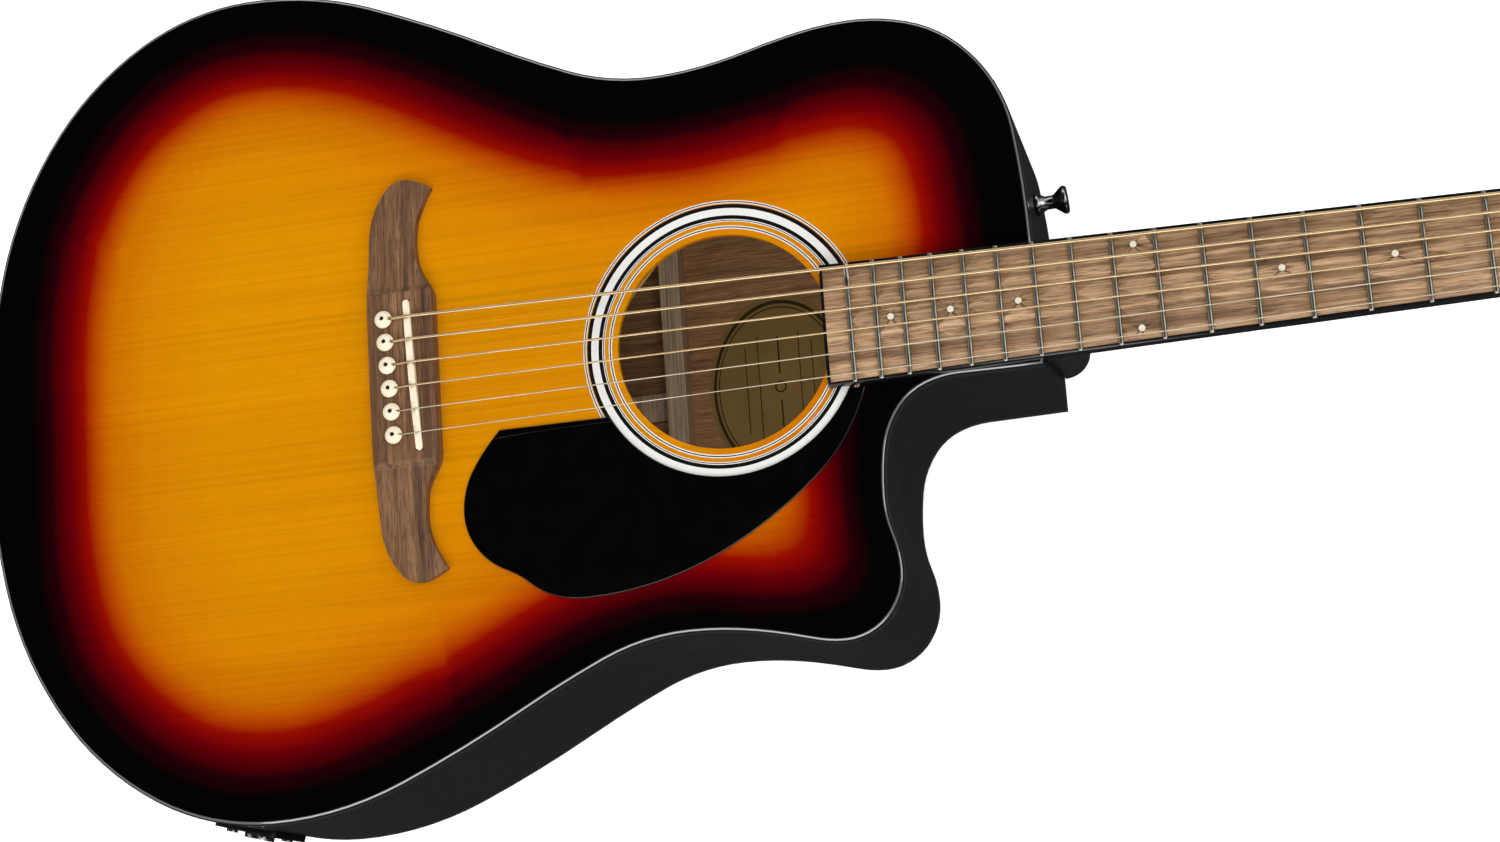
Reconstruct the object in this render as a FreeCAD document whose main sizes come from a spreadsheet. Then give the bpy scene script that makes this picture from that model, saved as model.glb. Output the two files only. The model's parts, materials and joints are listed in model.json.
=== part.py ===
import FreeCAD, Part
import math
import os

from FreeCAD import Placement, Rotation, Vector

# Steel-string acoustic guitar with one cutaway, lying on its back.
#
# The drawing frame used below has X = 0 at the nominal saddle line, +X towards the nut, +Y towards the
# bass strings and Z = 0 on the face of the soundboard. The finished pieces are all moved by one shift,
# so that the model stands with the middle of its box over the origin and its back on Z = 0.

# ---------------------------------------------------------------------------------------------------
# Driving dimensions, in millimetres and degrees. Each becomes one cell of the spreadsheet "dims".
# ---------------------------------------------------------------------------------------------------

SIZES = {
    # fits and glue lines
    "glue_gap": 0.1, "part_gap": 0.3, "shaft_fit": 0.05,
    # body outline: lengths along the centre line and half widths
    "tail_length": 221.5, "lower_bout_x": -82.0, "lower_bout_half": 199.5, "waist_x": 118.0,
    "waist_half": 131.5, "upper_bout_x": 211.0, "upper_bout_half": 145.0, "body_end_x": 286.3,
    "shoulder_x": 262.0, "shoulder_half": 126.0, "neck_seat_half": 30.0,
    # cutaway on the treble side
    "cutaway_edge": 28.5, "cutaway_start_x": 248.0, "cutaway_throat_x": 211.0, "cutaway_throat_y": 80.0,
    "horn_x": 188.0, "horn_half": 142.5, "horn_tip_x": 216.3, "horn_tip_y": 113.0,
    # body shell
    "body_depth": 122.4, "back_arch_radius": 4570.0, "back_arch_x": -107.0, "top_thickness": 2.8,
    "back_thickness": 2.6, "side_thickness": 2.2, "binding_width": 2.0, "binding_height": 6.0,
    "lining_width": 6.0, "lining_height": 14.0, "soundhole_x": 143.0, "soundhole_radius": 50.0,
    "neck_block_length": 58.0, "neck_block_bass": 44.0, "tail_block_length": 18.0,
    "tail_block_half": 38.0, "neck_bolt_radius": 3.0, "neck_bolt_y": 4.0, "neck_bolt_first_z": -40.0,
    "neck_bolt_pitch": 32.0,
    # braces
    "x_brace_cross_x": 65.0, "x_brace_angle": 48.0, "x_brace_length": 420.0, "brace_width": 8.0,
    "brace_height": 13.0, "tone_bar_width": 7.0, "tone_bar_height": 10.0, "back_brace_width": 10.0,
    "back_brace_height": 14.0, "strip_width": 14.0, "strip_thickness": 1.6, "bridge_plate_thickness": 3.0,
    "label_x": 146.0, "label_y": 3.0, "label_length": 73.0, "label_width": 94.0, "label_thickness": 0.3,
    # rosette and guard
    "rosette_depth": 0.7, "guard_thickness": 1.2, "guard_ring_offset": 12.75,
    # bridge, saddle and pins
    "bridge_half": 96.0, "bridge_block_half": 40.0, "bridge_height": 9.0, "bridge_wing_height": 6.4,
    "bridge_tip_height": 3.6, "bridge_back_x": -25.0, "bridge_front_x": 7.2, "saddle_x": -2.8,
    "saddle_length": 72.0, "saddle_thickness": 3.2, "saddle_slot_depth": 5.5, "saddle_skew": 2.86,
    "pickup_thickness": 1.0, "string_spread_saddle": 55.4, "pin_offset": 11.6, "pin_radius": 2.6,
    "pin_head_radius": 4.2, "pin_length": 22.0, "pin_dot_radius": 0.9,
    # strings
    "string_bed_saddle": 11.2, "string_bed_nut": 7.4, "string_spread_nut": 35.6, "ball_radius": 1.9,
    "wrap_height": 6.5,
    # neck and fretboard
    "scale_length": 643.0, "fret_count": 20.0, "fretboard_end_x": 190.0, "width_at_end": 56.2,
    "width_at_nut": 41.0, "fretboard_thickness": 6.2, "fretboard_arch": 400.0,
    "neck_binding_width": 1.5, "fret_width": 2.3, "fret_height": 1.1, "tang_width": 0.6,
    "tang_depth": 1.8, "dot_radius": 1.5, "dot_depth": 1.5, "side_dot_radius": 0.9, "nut_length": 5.5,
    "nut_height": 8.6, "neck_depth_nut": 14.8, "neck_depth_heel": 17.0, "heel_length": 46.0,
    "heel_toe_length": 13.0, "heel_toe_half": 12.0, "heel_cap_thickness": 3.0,
    # truss rod
    "rod_radius": 2.5, "rod_axis_depth": 6.0, "rod_nut_radius": 4.2, "rod_nut_length": 11.0,
    "rod_cover_length": 44.0, "rod_cover_half": 12.5, "rod_cover_thickness": 1.6,
    # headstock
    "head_angle": 13.0, "head_length": 178.0, "head_start_half": 20.8, "head_half": 36.5,
    "head_end_half": 33.0, "head_thickness": 13.0, "veneer_thickness": 2.0,
    # tuners
    "tuner_first": 40.0, "tuner_pitch": 38.0, "tuner_side": 24.5, "post_radius": 3.0,
    "post_height": 15.0, "bushing_radius": 4.8, "bushing_flange_radius": 6.2,
    "bushing_flange_height": 1.8, "housing_length": 20.0, "housing_width": 15.0,
    "housing_height": 9.6, "housing_wall": 1.2, "wheel_radius": 5.6, "wheel_thickness": 3.0,
    "worm_offset": 8.2, "worm_radius": 2.3, "knob_shaft_radius": 1.9, "knob_length": 19.0,
    "knob_width": 15.0, "knob_thickness": 8.0, "knob_clear": 3.0,
    # electrics
    "preamp_x": 165.0, "preamp_length": 66.0, "preamp_height": 34.0, "preamp_depth_z": -55.0,
    "preamp_box_depth": 24.0, "panel_proud": 1.0, "knob_radius": 5.5, "knob_height": 7.0,
    "knob_pitch": 17.0, "stem_radius": 2.2, "button_radius": 3.0, "button_travel": 1.2,
    "button_length": 14.0,
    "display_length": 14.0, "display_height": 7.0, "jack_x": -113.0, "jack_depth_z": -62.0,
    "jack_plate_length": 32.0, "jack_plate_width": 40.0, "jack_plate_thickness": 2.0,
    "jack_bore_radius": 3.2, "jack_body_radius": 5.0, "jack_length": 28.0, "jack_screw_along": 8.0,
    "jack_screw_across": 15.0,
    # strap buttons
    "strap_neck_y": 58.0, "strap_neck_z": -45.0, "strap_tail_z": -58.0, "strap_base_radius": 5.5,
    "strap_neck_radius": 3.2, "strap_head_radius": 6.8, "strap_length": 15.0, "strap_gap": 0.3,
}

# The rosette's rings, as distances outwards from the edge of the soundhole: inner and outer.
ROSETTE_BLACK = [(3.35, 3.88), (6.6, 7.0), (7.4, 9.2), (12.65, 14.5), (15.4, 15.9)]
ROSETTE_WHITE = [(2.8, 3.35), (3.88, 4.4), (6.2, 6.6), (7.0, 7.4), (9.2, 12.65),
                 (14.95, 15.4), (15.9, 16.4)]
ROSETTE_CHANNELS = [(2.8, 4.4), (6.2, 14.5), (14.95, 16.4)]
STRING_RADII = [0.15, 0.20, 0.32, 0.41, 0.53, 0.67]   # string 1 (thin, treble) to string 6 (bass)
DOT_FRETS = [3, 5, 7, 9, 15, 17, 19]
DOUBLE_DOT_FRET = 12

os.makedirs("parts", exist_ok=True)
doc = FreeCAD.newDocument("guitar")
sheet = doc.addObject("Spreadsheet::Sheet", "dims")


def fill_sheet():
    for row, (alias, value) in enumerate(SIZES.items(), start=1):
        sheet.set(f"A{row}", alias)
        sheet.set(f"B{row}", str(value))
        sheet.setAlias(f"B{row}", alias)
    doc.recompute()


fill_sheet()


class Dims:
    """Reads the spreadsheet's cells by alias."""

    def __getattr__(self, alias):
        return float(sheet.get(alias))


d = Dims()


def radians(angle):
    return math.radians(angle)


VENEER_RUN = d.veneer_thickness * math.sin(radians(d.head_angle))
HEAD_START_X = d.scale_length + d.nut_length + d.glue_gap + VENEER_RUN

# ---------------------------------------------------------------------------------------------------
# Geometry helpers
# ---------------------------------------------------------------------------------------------------


def arc_from_tangent(start, end, heading):
    """The arc from start to end that leaves start along heading (degrees)."""
    chord = end - start
    angle = radians(heading) - math.atan2(chord.y, chord.x)
    angle = math.atan2(math.sin(angle), math.cos(angle))
    if abs(angle) < 1e-6:
        return Part.LineSegment(start, end)
    rise = math.tan(angle / 2) / 2
    middle = (start + end) * 0.5 + Vector(-chord.y, chord.x, 0) * rise
    return Part.Arc(start, middle, end)


def biarc(first, last):
    """Two tangent arcs between stations (x, y, heading in degrees)."""
    start, end = Vector(first[0], first[1], 0), Vector(last[0], last[1], 0)
    t0 = Vector(math.cos(radians(first[2])), math.sin(radians(first[2])), 0)
    t1 = Vector(math.cos(radians(last[2])), math.sin(radians(last[2])), 0)
    gap, spread = end - start, t0 + t1
    bend = 2 * (1 - t0.dot(t1))
    if bend < 1e-9:
        reach = gap.dot(gap) / (4 * gap.dot(t1))
    else:
        along = gap.dot(spread)
        reach = (-along + math.sqrt(along * along + bend * gap.dot(gap))) / bend
    joint = (start + t0 * reach + end - t1 * reach) * 0.5
    second = arc_from_tangent(end, joint, last[2] + 180)
    if isinstance(second, Part.LineSegment):
        second = Part.LineSegment(joint, end)
    return [arc_from_tangent(start, joint, first[2]), second]


def curve(stations):
    """A smooth run of tangent arcs through the stations."""
    return [piece for first, last in zip(stations, stations[1:]) for piece in biarc(first, last)]


def line(x0, y0, x1, y1):
    return Part.LineSegment(Vector(x0, y0, 0), Vector(x1, y1, 0))


def polygon(points):
    return [line(*a, *b) for a, b in zip(points, points[1:] + points[:1])]


def wire_of(pieces):
    return Part.Wire(Part.__sortEdges__([piece.toShape() for piece in pieces]))


def prism(wire, low, high):
    shape = Part.Face(wire).extrude(Vector(0, 0, high - low))
    shape.translate(Vector(0, 0, low))
    return shape


def block(x0, x1, y0, y1, z0, z1):
    return Part.makeBox(x1 - x0, y1 - y0, z1 - z0, Vector(x0, y0, z0))


def rod(radius, start, end):
    return Part.makeCylinder(radius, (end - start).Length, start, end - start)


def ring(inner, outer, low, high, centre_x=0.0, centre_y=0.0):
    centre = Vector(centre_x, centre_y, low)
    return Part.makeCylinder(outer, high - low, centre).cut(Part.makeCylinder(inner, high - low, centre))


def fuse(shapes):
    whole = shapes[0].multiFuse(shapes[1:])
    return whole.removeSplitter()


def group(shapes):
    return Part.makeCompound([solid for shape in shapes for solid in shape.Solids])


def revolve_profile(points):
    """A solid of revolution about Z from (radius, height) points."""
    wire = Part.makePolygon([Vector(r, 0, z) for r, z in points + points[:1]])
    return Part.Face(wire).revolve(Vector(0, 0, 0), Vector(0, 0, 1), 360)


# ---------------------------------------------------------------------------------------------------
# Document objects
# ---------------------------------------------------------------------------------------------------

FINISHED = []


def finish(obj, label):
    obj.Label = label
    FINISHED.append(obj)
    return obj


def feature(label, shape):
    """A piece whose shape neither a sketch nor a primitive can give."""
    obj = doc.addObject("Part::Feature", label)
    obj.Shape = shape
    return finish(obj, label)


def origin_plane(body, role):
    return next(item for item in body.Origin.OriginFeatures if item.Role == role)


def sketch_on(body, name, level, pieces, role="XY_Plane"):
    sketch = body.newObject("Sketcher::SketchObject", name)
    sketch.AttachmentSupport = [(origin_plane(body, role), "")]
    sketch.MapMode = "FlatFace"
    sketch.AttachmentOffset = Placement(Vector(0, 0, level), Rotation())
    sketch.addGeometry(pieces, False)
    return sketch


def circle(x, y, radius):
    return Part.Circle(Vector(x, y, 0), Vector(0, 0, 1), radius)


def pieces_of(wire):
    """Sketch geometry of a flat wire of lines and arcs."""
    out = []
    for edge in wire.Edges:
        if isinstance(edge.Curve, Part.Line):
            out.append(Part.LineSegment(edge.Vertexes[0].Point, edge.Vertexes[1].Point))
        else:
            out.append(Part.ArcOfCircle(edge.Curve, edge.FirstParameter, edge.LastParameter))
    return out


def pad_blank(label, pieces, level, thickness, downwards=False):
    """A body padded from a sketch at a level, by a cell of the sheet."""
    body = doc.addObject("PartDesign::Body", label)
    pad = body.newObject("PartDesign::Pad", f"{label}_pad")
    pad.Profile = sketch_on(body, f"{label}_outline", level, pieces)
    pad.setExpression("Length", f"dims.{thickness}")
    pad.Reversed = downwards
    doc.recompute()
    return body


def pocket(body, name, pieces, level, depth):
    """Cuts downwards from a level by a cell of the sheet and proves that something was removed."""
    before = body.Shape.Volume
    cut = body.newObject("PartDesign::Pocket", name)
    cut.Profile = sketch_on(body, f"{name}_outline", level, pieces)
    cut.setExpression("Length", f"dims.{depth}")
    doc.recompute()
    if body.Shape.Volume > before - 1e-6:
        raise RuntimeError(f"{name} removed nothing")
    return cut


def profile(points):
    """Lines between (radius, height) points; a point given with a third value bulges to that radius."""
    pieces = []
    for a, b in zip(points, points[1:] + points[:1]):
        if len(b) == 3:
            middle = Vector(b[2], (a[1] + b[1]) / 2, 0)
            pieces.append(Part.Arc(Vector(a[0], a[1], 0), middle, Vector(b[0], b[1], 0)))
        else:
            pieces.append(line(a[0], a[1], b[0], b[1]))
    return pieces


def turned_blank(label, points, placement):
    """A body revolved about its Z axis from a profile, set at a placement."""
    body = doc.addObject("PartDesign::Body", label)
    sketch = sketch_on(body, f"{label}_profile", 0, profile(points), "XZ_Plane")
    turn = body.newObject("PartDesign::Revolution", f"{label}_turn")
    turn.Profile = sketch
    turn.ReferenceAxis = (sketch, ["V_Axis"])
    turn.Angle = 360
    body.Placement = placement
    doc.recompute()
    return body


def turned_body(label, points, placement):
    return finish(turned_blank(label, points, placement), label)


def joined(label, members):
    """Separate bodies kept as one piece of the list."""
    compound = doc.addObject("Part::Compound", label)
    compound.Links = members
    doc.recompute()
    return finish(compound, label)


def bound_rod(label, radius, height, placement):
    """A plain round bar whose sizes are expressions on the sheet."""
    bar_object = doc.addObject("Part::Cylinder", label)
    bar_object.setExpression("Radius", radius)
    bar_object.setExpression("Height", height)
    bar_object.Placement = placement
    doc.recompute()
    return finish(bar_object, label)


# ---------------------------------------------------------------------------------------------------
# Body outline
# ---------------------------------------------------------------------------------------------------


def half_outline():
    """Stations from the tail to the flank of the upper bout, on the bass side, heading +X."""
    drop = d.lower_bout_half - d.waist_half
    rise = d.upper_bout_half - d.waist_half
    corner_x = d.lower_bout_x - 0.717 * (d.tail_length + d.lower_bout_x)
    flank_x = d.lower_bout_x + 0.61 * (d.waist_x - d.lower_bout_x)
    flare_x = d.waist_x + 0.485 * (d.upper_bout_x - d.waist_x)
    return [
        (-d.tail_length, 0, 90),
        (corner_x, 0.73 * d.lower_bout_half, 53.5),
        (d.lower_bout_x, d.lower_bout_half, 0),
        (flank_x, d.waist_half + 0.397 * drop, -28.5),
        (d.waist_x, d.waist_half, 0),
        (flare_x, d.waist_half + 0.45 * rise, 14.5),
    ]


def mirrored(stations):
    """The same run on the treble side, walked back towards the tail."""
    return [(x, -y, 180 - heading) for x, y, heading in reversed(stations)]


def outline_pieces():
    bass = half_outline() + [
        (d.upper_bout_x, d.upper_bout_half, 0),
        (d.shoulder_x, d.shoulder_half, -45),
        (d.body_end_x, d.neck_seat_half, -90),
    ]
    cutaway = [
        (d.cutaway_start_x, -d.cutaway_edge, 180),
        (d.cutaway_throat_x + 10, -d.cutaway_edge - 11.5, 232),
        (d.cutaway_throat_x, -d.cutaway_throat_y, 270),
        (d.horn_tip_x, -d.horn_tip_y, 270),
        (d.horn_x, -d.horn_half, 180),
    ]
    end_face = line(d.body_end_x, d.neck_seat_half, d.body_end_x, -d.cutaway_edge)
    neck_edge = line(d.body_end_x, -d.cutaway_edge, d.cutaway_start_x, -d.cutaway_edge)
    return curve(bass) + [end_face, neck_edge] + curve(cutaway + mirrored(half_outline()))


OUTLINE = wire_of(outline_pieces())


def outline(inset):
    return OUTLINE.makeOffset2D(-inset) if abs(inset) > 1e-9 else OUTLINE


def outline_ring(outer, inner, low, high):
    return prism(outline(outer), low, high).cut(prism(outline(inner), low - 1, high + 1))


def arch(inset):
    """The ball whose underside is the arched back, shrunk by inset. Its poles lie far to the sides."""
    ball = Part.makeSphere(d.back_arch_radius - inset)
    ball.rotate(Vector(0, 0, 0), Vector(1, 0, 0), 90)
    ball.translate(Vector(d.back_arch_x, 0, d.back_arch_radius - d.body_depth))
    return ball


def back_level(x, y, inset=0.0):
    """Height of the arched back under a point."""
    radius = d.back_arch_radius - inset
    drop = math.sqrt(radius ** 2 - (x - d.back_arch_x) ** 2 - y ** 2)
    return d.back_arch_radius - d.body_depth - drop


def wall_at(start, direction, inset=0.0):
    """Where a ray from inside meets the side wall, and the wall's outward normal there."""
    ray = Part.makeLine(start, start + direction * 1000)
    for edge in outline(inset).Edges:
        gap, pairs, _ = edge.distToShape(ray)
        if gap < 1e-6:
            point = pairs[0][0]
            tangent = edge.tangentAt(edge.Curve.parameter(point))
            normal = Vector(tangent.y, -tangent.x, 0).normalize()
            return point, normal if normal.dot(direction) > 0 else normal * -1
    raise RuntimeError("the ray meets no wall")


BOTTOM = -d.body_depth - 20
BACK_TOP = -d.body_depth / 2
INSIDE = d.side_thickness + d.glue_gap            # inset of the sides' inner face, with the glue line
LINED = INSIDE + d.lining_width + d.glue_gap      # inset of the linings' inner face
UNDER_TOP = -d.top_thickness - d.glue_gap
OVER_BACK = d.back_thickness + d.glue_gap         # inset of the back's inner face from the arch

# ---------------------------------------------------------------------------------------------------
# Places that several pieces share
# ---------------------------------------------------------------------------------------------------


def skewed(offset, across):
    """A point beside the slanted saddle: offset towards the nut from its middle line, and across it."""
    slope = math.tan(radians(d.saddle_skew))
    return d.saddle_x - slope * across + offset, across


def string_y(number, spread):
    return (number - 3.5) / 5 * spread


def string_z(x, number, y):
    """Height of a string's centre between saddle and nut: its bed's height plus its own radius."""
    share = (x - d.saddle_x) / (d.scale_length - d.saddle_x)
    bed = d.string_bed_saddle + share * (d.string_bed_nut - d.string_bed_saddle)
    return bed - y * y / (2 * d.fretboard_arch) + STRING_RADII[number - 1]


def half_width(x):
    share = (x - d.fretboard_end_x) / (d.scale_length - d.fretboard_end_x)
    return (d.width_at_end + share * (d.width_at_nut - d.width_at_end)) / 2


def fret_x(number):
    return d.scale_length * 2 ** (-number / 12)


def pin_place(number):
    return skewed(-d.pin_offset, string_y(number, d.string_spread_saddle))


STRINGS = range(1, 7)
HEAD_ORIGIN = Vector(HEAD_START_X, 0, d.veneer_thickness)
HEAD = Placement(HEAD_ORIGIN, Rotation(Vector(0, 1, 0), d.head_angle))


def on_head(u, v, w):
    """A point in the head's own frame: along it, across it, and above its face."""
    return HEAD.multVec(Vector(u, v, w))


def head_direction(u, v, w):
    return HEAD.Rotation.multVec(Vector(u, v, w))


def tuner_place(number):
    """Post position (along, across) of a string's tuner: the outer strings go to the nearest posts."""
    step = number - 1 if number <= 3 else 6 - number
    side = -1 if number <= 3 else 1
    return d.tuner_first + step * d.tuner_pitch, side * d.tuner_side


# ---------------------------------------------------------------------------------------------------
# Body shell
# ---------------------------------------------------------------------------------------------------


NOTCH_GAP = 0.15


def string_slot(number, radius):
    """The notch that lets a string pass beside its pin, joined with the pin's hole."""
    x, y = pin_place(number)
    half = STRING_RADII[number - 1] + NOTCH_GAP
    reach = d.pin_radius + 2 * STRING_RADII[number - 1] + 3 * NOTCH_GAP
    hole = Part.makeCylinder(radius, 40, Vector(x, y, -20))
    return fuse([hole, block(x, x + reach, y - half, y + half, -20, 20)])


def string_drop(number):
    """Where a string goes down beside its pin."""
    x, y = pin_place(number)
    return x + d.pin_radius + STRING_RADII[number - 1] + NOTCH_GAP, y


PIN_HOLES = [string_slot(number, d.pin_radius + NOTCH_GAP / 3) for number in STRINGS]


def pin_sketches(gap):
    """Outlines of the pin holes and of the string notches beside them."""
    holes, notches = [], []
    for number in STRINGS:
        x, y = pin_place(number)
        half = STRING_RADII[number - 1] + gap
        holes.append(circle(x, y, d.pin_radius + gap / 3))
        reach = x + d.pin_radius + 2 * STRING_RADII[number - 1] + 3 * gap
        notches += polygon([(x, y - half), (reach, y - half), (reach, y + half), (x, y + half)])
    return holes, notches


def pocket_pins(body, name, level, depth):
    holes, notches = pin_sketches(NOTCH_GAP)
    pocket(body, f"{name}_pin_holes", holes, level, depth)
    pocket(body, f"{name}_string_notches", notches, level, depth)


def build_soundboard():
    blank = pieces_of(outline(d.binding_width + d.glue_gap))
    body = pad_blank("soundboard", blank, 0, "top_thickness", downwards=True)
    pocket(body, "soundhole", [circle(d.soundhole_x, 0, d.soundhole_radius)], 0, "top_thickness")
    for index, (inner, outer) in enumerate(ROSETTE_CHANNELS):
        rings = [circle(d.soundhole_x, 0, d.soundhole_radius + reach) for reach in (outer, inner)]
        pocket(body, f"rosette_channel_{index + 1}", rings, 0, "rosette_depth")
    pocket_pins(body, "soundboard", 0, "top_thickness")
    finish(body, "soundboard")


def build_rosette():
    for label, rings in (("rosette_black_rings", ROSETTE_BLACK), ("rosette_white_rings", ROSETTE_WHITE)):
        hole = d.soundhole_radius
        bands = [ring(hole + inner, hole + outer, -d.rosette_depth, 0, d.soundhole_x)
                 for inner, outer in rings]
        feature(label, group(bands))


def build_sides():
    top = -d.binding_height - d.glue_gap
    wall = outline_ring(0, d.side_thickness, BOTTOM, top).common(arch(d.binding_height + d.glue_gap))
    big = 400
    bass = wall.common(block(-big, big, d.glue_gap / 2, big, BOTTOM, 0))
    treble = wall.common(block(-big, big, -big, -d.glue_gap / 2, BOTTOM, 0))
    radius = d.neck_bolt_radius + d.glue_gap
    bolts = [rod(radius, Vector(200, y, z), Vector(300, y, z)) for y, z in neck_bolt_places()]
    feature("bass_side", bass.cut([preamp_window()] + bolts))
    feature("treble_side", treble.cut([jack_hole()] + bolts))


def build_bindings():
    top = outline_ring(0, d.binding_width, -d.binding_height, 0)
    edge = outline_ring(0, d.binding_width, BOTTOM, BACK_TOP)
    back = edge.common(arch(0)).cut(arch(d.binding_height))
    feature("body_bindings", group([top, back]))


def build_back():
    plate = prism(outline(d.binding_width + d.glue_gap), BOTTOM, BACK_TOP)
    feature("back_plate", plate.common(arch(0)).cut(arch(d.back_thickness)))


def block_boxes(clearance=0.0):
    c = clearance
    neck = block(d.body_end_x - INSIDE - d.neck_block_length - c, d.body_end_x, -d.cutaway_edge - 40,
                 d.neck_block_bass + c, BOTTOM, UNDER_TOP + c)
    tail = block(-d.tail_length, -d.tail_length + INSIDE + d.tail_block_length + c,
                 -d.tail_block_half - c, d.tail_block_half + c, BOTTOM, UNDER_TOP + c)
    return neck, tail


def build_blocks():
    room = prism(outline(INSIDE), BOTTOM, UNDER_TOP).common(arch(OVER_BACK))
    neck, tail = block_boxes()
    neck = neck.common(block(0, 400, -d.cutaway_edge + INSIDE, 400, BOTTOM, 0))
    radius = d.neck_bolt_radius + d.glue_gap
    holes = [rod(radius, Vector(200, y, z), Vector(300, y, z)) for y, z in neck_bolt_places()]
    feature("neck_block", neck.common(room).cut(holes))
    feature("tail_block", tail.common(room))


def build_linings():
    neck, tail = block_boxes(d.glue_gap)
    neck = neck.common(block(0, 400, -d.cutaway_edge + INSIDE - d.glue_gap, 400, BOTTOM, 0))
    top = outline_ring(INSIDE, INSIDE + d.lining_width, UNDER_TOP - d.lining_height, UNDER_TOP)
    edge = outline_ring(INSIDE, INSIDE + d.lining_width, BOTTOM, BACK_TOP)
    back = edge.common(arch(OVER_BACK)).cut(arch(OVER_BACK + d.lining_height))
    feature("linings", group([top.cut([neck, tail]), back.cut([neck, tail])]))


# ---------------------------------------------------------------------------------------------------
# Braces and inner pieces
# ---------------------------------------------------------------------------------------------------


def bar(centre_x, centre_y, angle, length, width, height, toe=3.0, slope=30.0):
    """A brace under the soundboard whose ends taper from full height to a toe."""
    half, top = length / 2, UNDER_TOP
    profile = [(-half, top), (half, top), (half, top - toe), (half - slope, top - height),
               (-half + slope, top - height), (-half, top - toe)]
    wire = Part.makePolygon([Vector(x, -width / 2, z) for x, z in profile + profile[:1]])
    shape = Part.Face(wire).extrude(Vector(0, width, 0))
    shape.rotate(Vector(0, 0, 0), Vector(0, 0, 1), angle)
    shape.translate(Vector(centre_x, centre_y, 0))
    return shape


def lined_room():
    return prism(outline(LINED), BOTTOM, UNDER_TOP + 1)


def build_top_braces():
    room = lined_room()
    cross, turn, width = d.x_brace_cross_x, d.x_brace_angle, d.brace_width
    shift = 0.12 * d.x_brace_length
    level = UNDER_TOP - d.brace_height / 2
    lap = 3 * width
    halves = {1: block(cross - lap, cross + lap, -lap, lap, level - d.glue_gap / 2, 0),
              -1: block(cross - lap, cross + lap, -lap, lap, BOTTOM, level + d.glue_gap / 2)}
    for sign, label in ((1, "x_brace_rising"), (-1, "x_brace_falling")):
        angle = sign * turn
        x = cross - shift * math.cos(radians(angle))
        y = -shift * math.sin(radians(angle))
        leg = bar(x, y, angle, d.x_brace_length, width, d.brace_height)
        mate = bar(cross, 0, -angle, 4 * width, width + 2 * d.glue_gap, 60, 30, 1)
        feature(label, leg.cut(mate.common(halves[sign])).common(room))
    transverse = bar(201.0, 35.0, 90, 190.0, width + 2, d.brace_height + 3, slope=20)
    tones = [bar(-75.0, 0, 70, 140.0, d.tone_bar_width, d.tone_bar_height),
             bar(-130.0, 0, 75, 170.0, d.tone_bar_width, d.tone_bar_height)]
    fingers = [bar(x, side * 92.0, 90, length, d.tone_bar_width, d.tone_bar_height - 2, slope=12)
               for x, length in ((40.0, 62.0), (90.0, 44.0)) for side in (1, -1)]
    feature("top_braces", group([piece.common(room) for piece in [transverse] + tones + fingers]))


def build_bridge_plate():
    trapezoid = polygon([(12, -48), (12, 48), (-36, 88), (-36, -88)])
    body = pad_blank("bridge_plate", trapezoid, UNDER_TOP, "bridge_plate_thickness", downwards=True)
    pocket_pins(body, "bridge_plate", UNDER_TOP, "bridge_plate_thickness")
    finish(body, "bridge_plate")


BACK_BRACE_X = (-120.0, -15.0, 95.5, 205.0)


def build_back_braces():
    room = lined_room().common(arch(OVER_BACK))
    pieces = []
    for x in BACK_BRACE_X:
        half = d.back_brace_width / 2
        top = back_level(x, 0) + OVER_BACK + d.back_brace_height
        low_y = -60 if x > d.waist_x else -300
        pieces.append(block(x - half, x + half, low_y, 300, BOTTOM, top).common(room))
    half, gap = d.strip_width / 2, d.back_brace_width / 2 + 1.0
    shell = arch(OVER_BACK).cut(arch(OVER_BACK + d.strip_thickness))
    starts = [-d.tail_length + INSIDE + d.tail_block_length + 1] + [x + gap for x in BACK_BRACE_X[:2]]
    for start, brace_x in zip(starts, BACK_BRACE_X):
        pieces.append(block(start, brace_x - gap, -half, half, BOTTOM, 0).common(shell))
    feature("back_braces", group(pieces))


def build_label():
    oval = Part.Ellipse(Vector(d.label_x, d.label_y + d.label_width / 2, 0),
                        Vector(d.label_x - d.label_length / 2, d.label_y, 0),
                        Vector(d.label_x, d.label_y, 0)).toShape()
    column = prism(Part.Wire([oval]), BOTTOM, BACK_TOP)
    feature("paper_label", column.common(arch(OVER_BACK)).cut(arch(OVER_BACK + d.label_thickness)))


# ---------------------------------------------------------------------------------------------------
# Guard and bridge
# ---------------------------------------------------------------------------------------------------


def guard_pieces():
    edge = -d.width_at_end / 2 - 1.0
    rim = curve([(35.0, edge, 225), (16.0, -66.0, 270), (35.0, -94.5, 335), (46.0, -101.8, 318),
                 (72.0, -111.0, 0), (140.0, -94.6, 27), (206.0, edge, 72)])
    return rim + [line(206.0, edge, 35.0, edge)]


def build_guard():
    body = pad_blank("pickguard", guard_pieces(), 0, "guard_thickness")
    pocket(body, "rosette_cutout", [circle(d.soundhole_x, 0, d.soundhole_radius + d.guard_ring_offset)], d.guard_thickness,
           "guard_thickness")
    finish(body, "pickguard")


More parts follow.
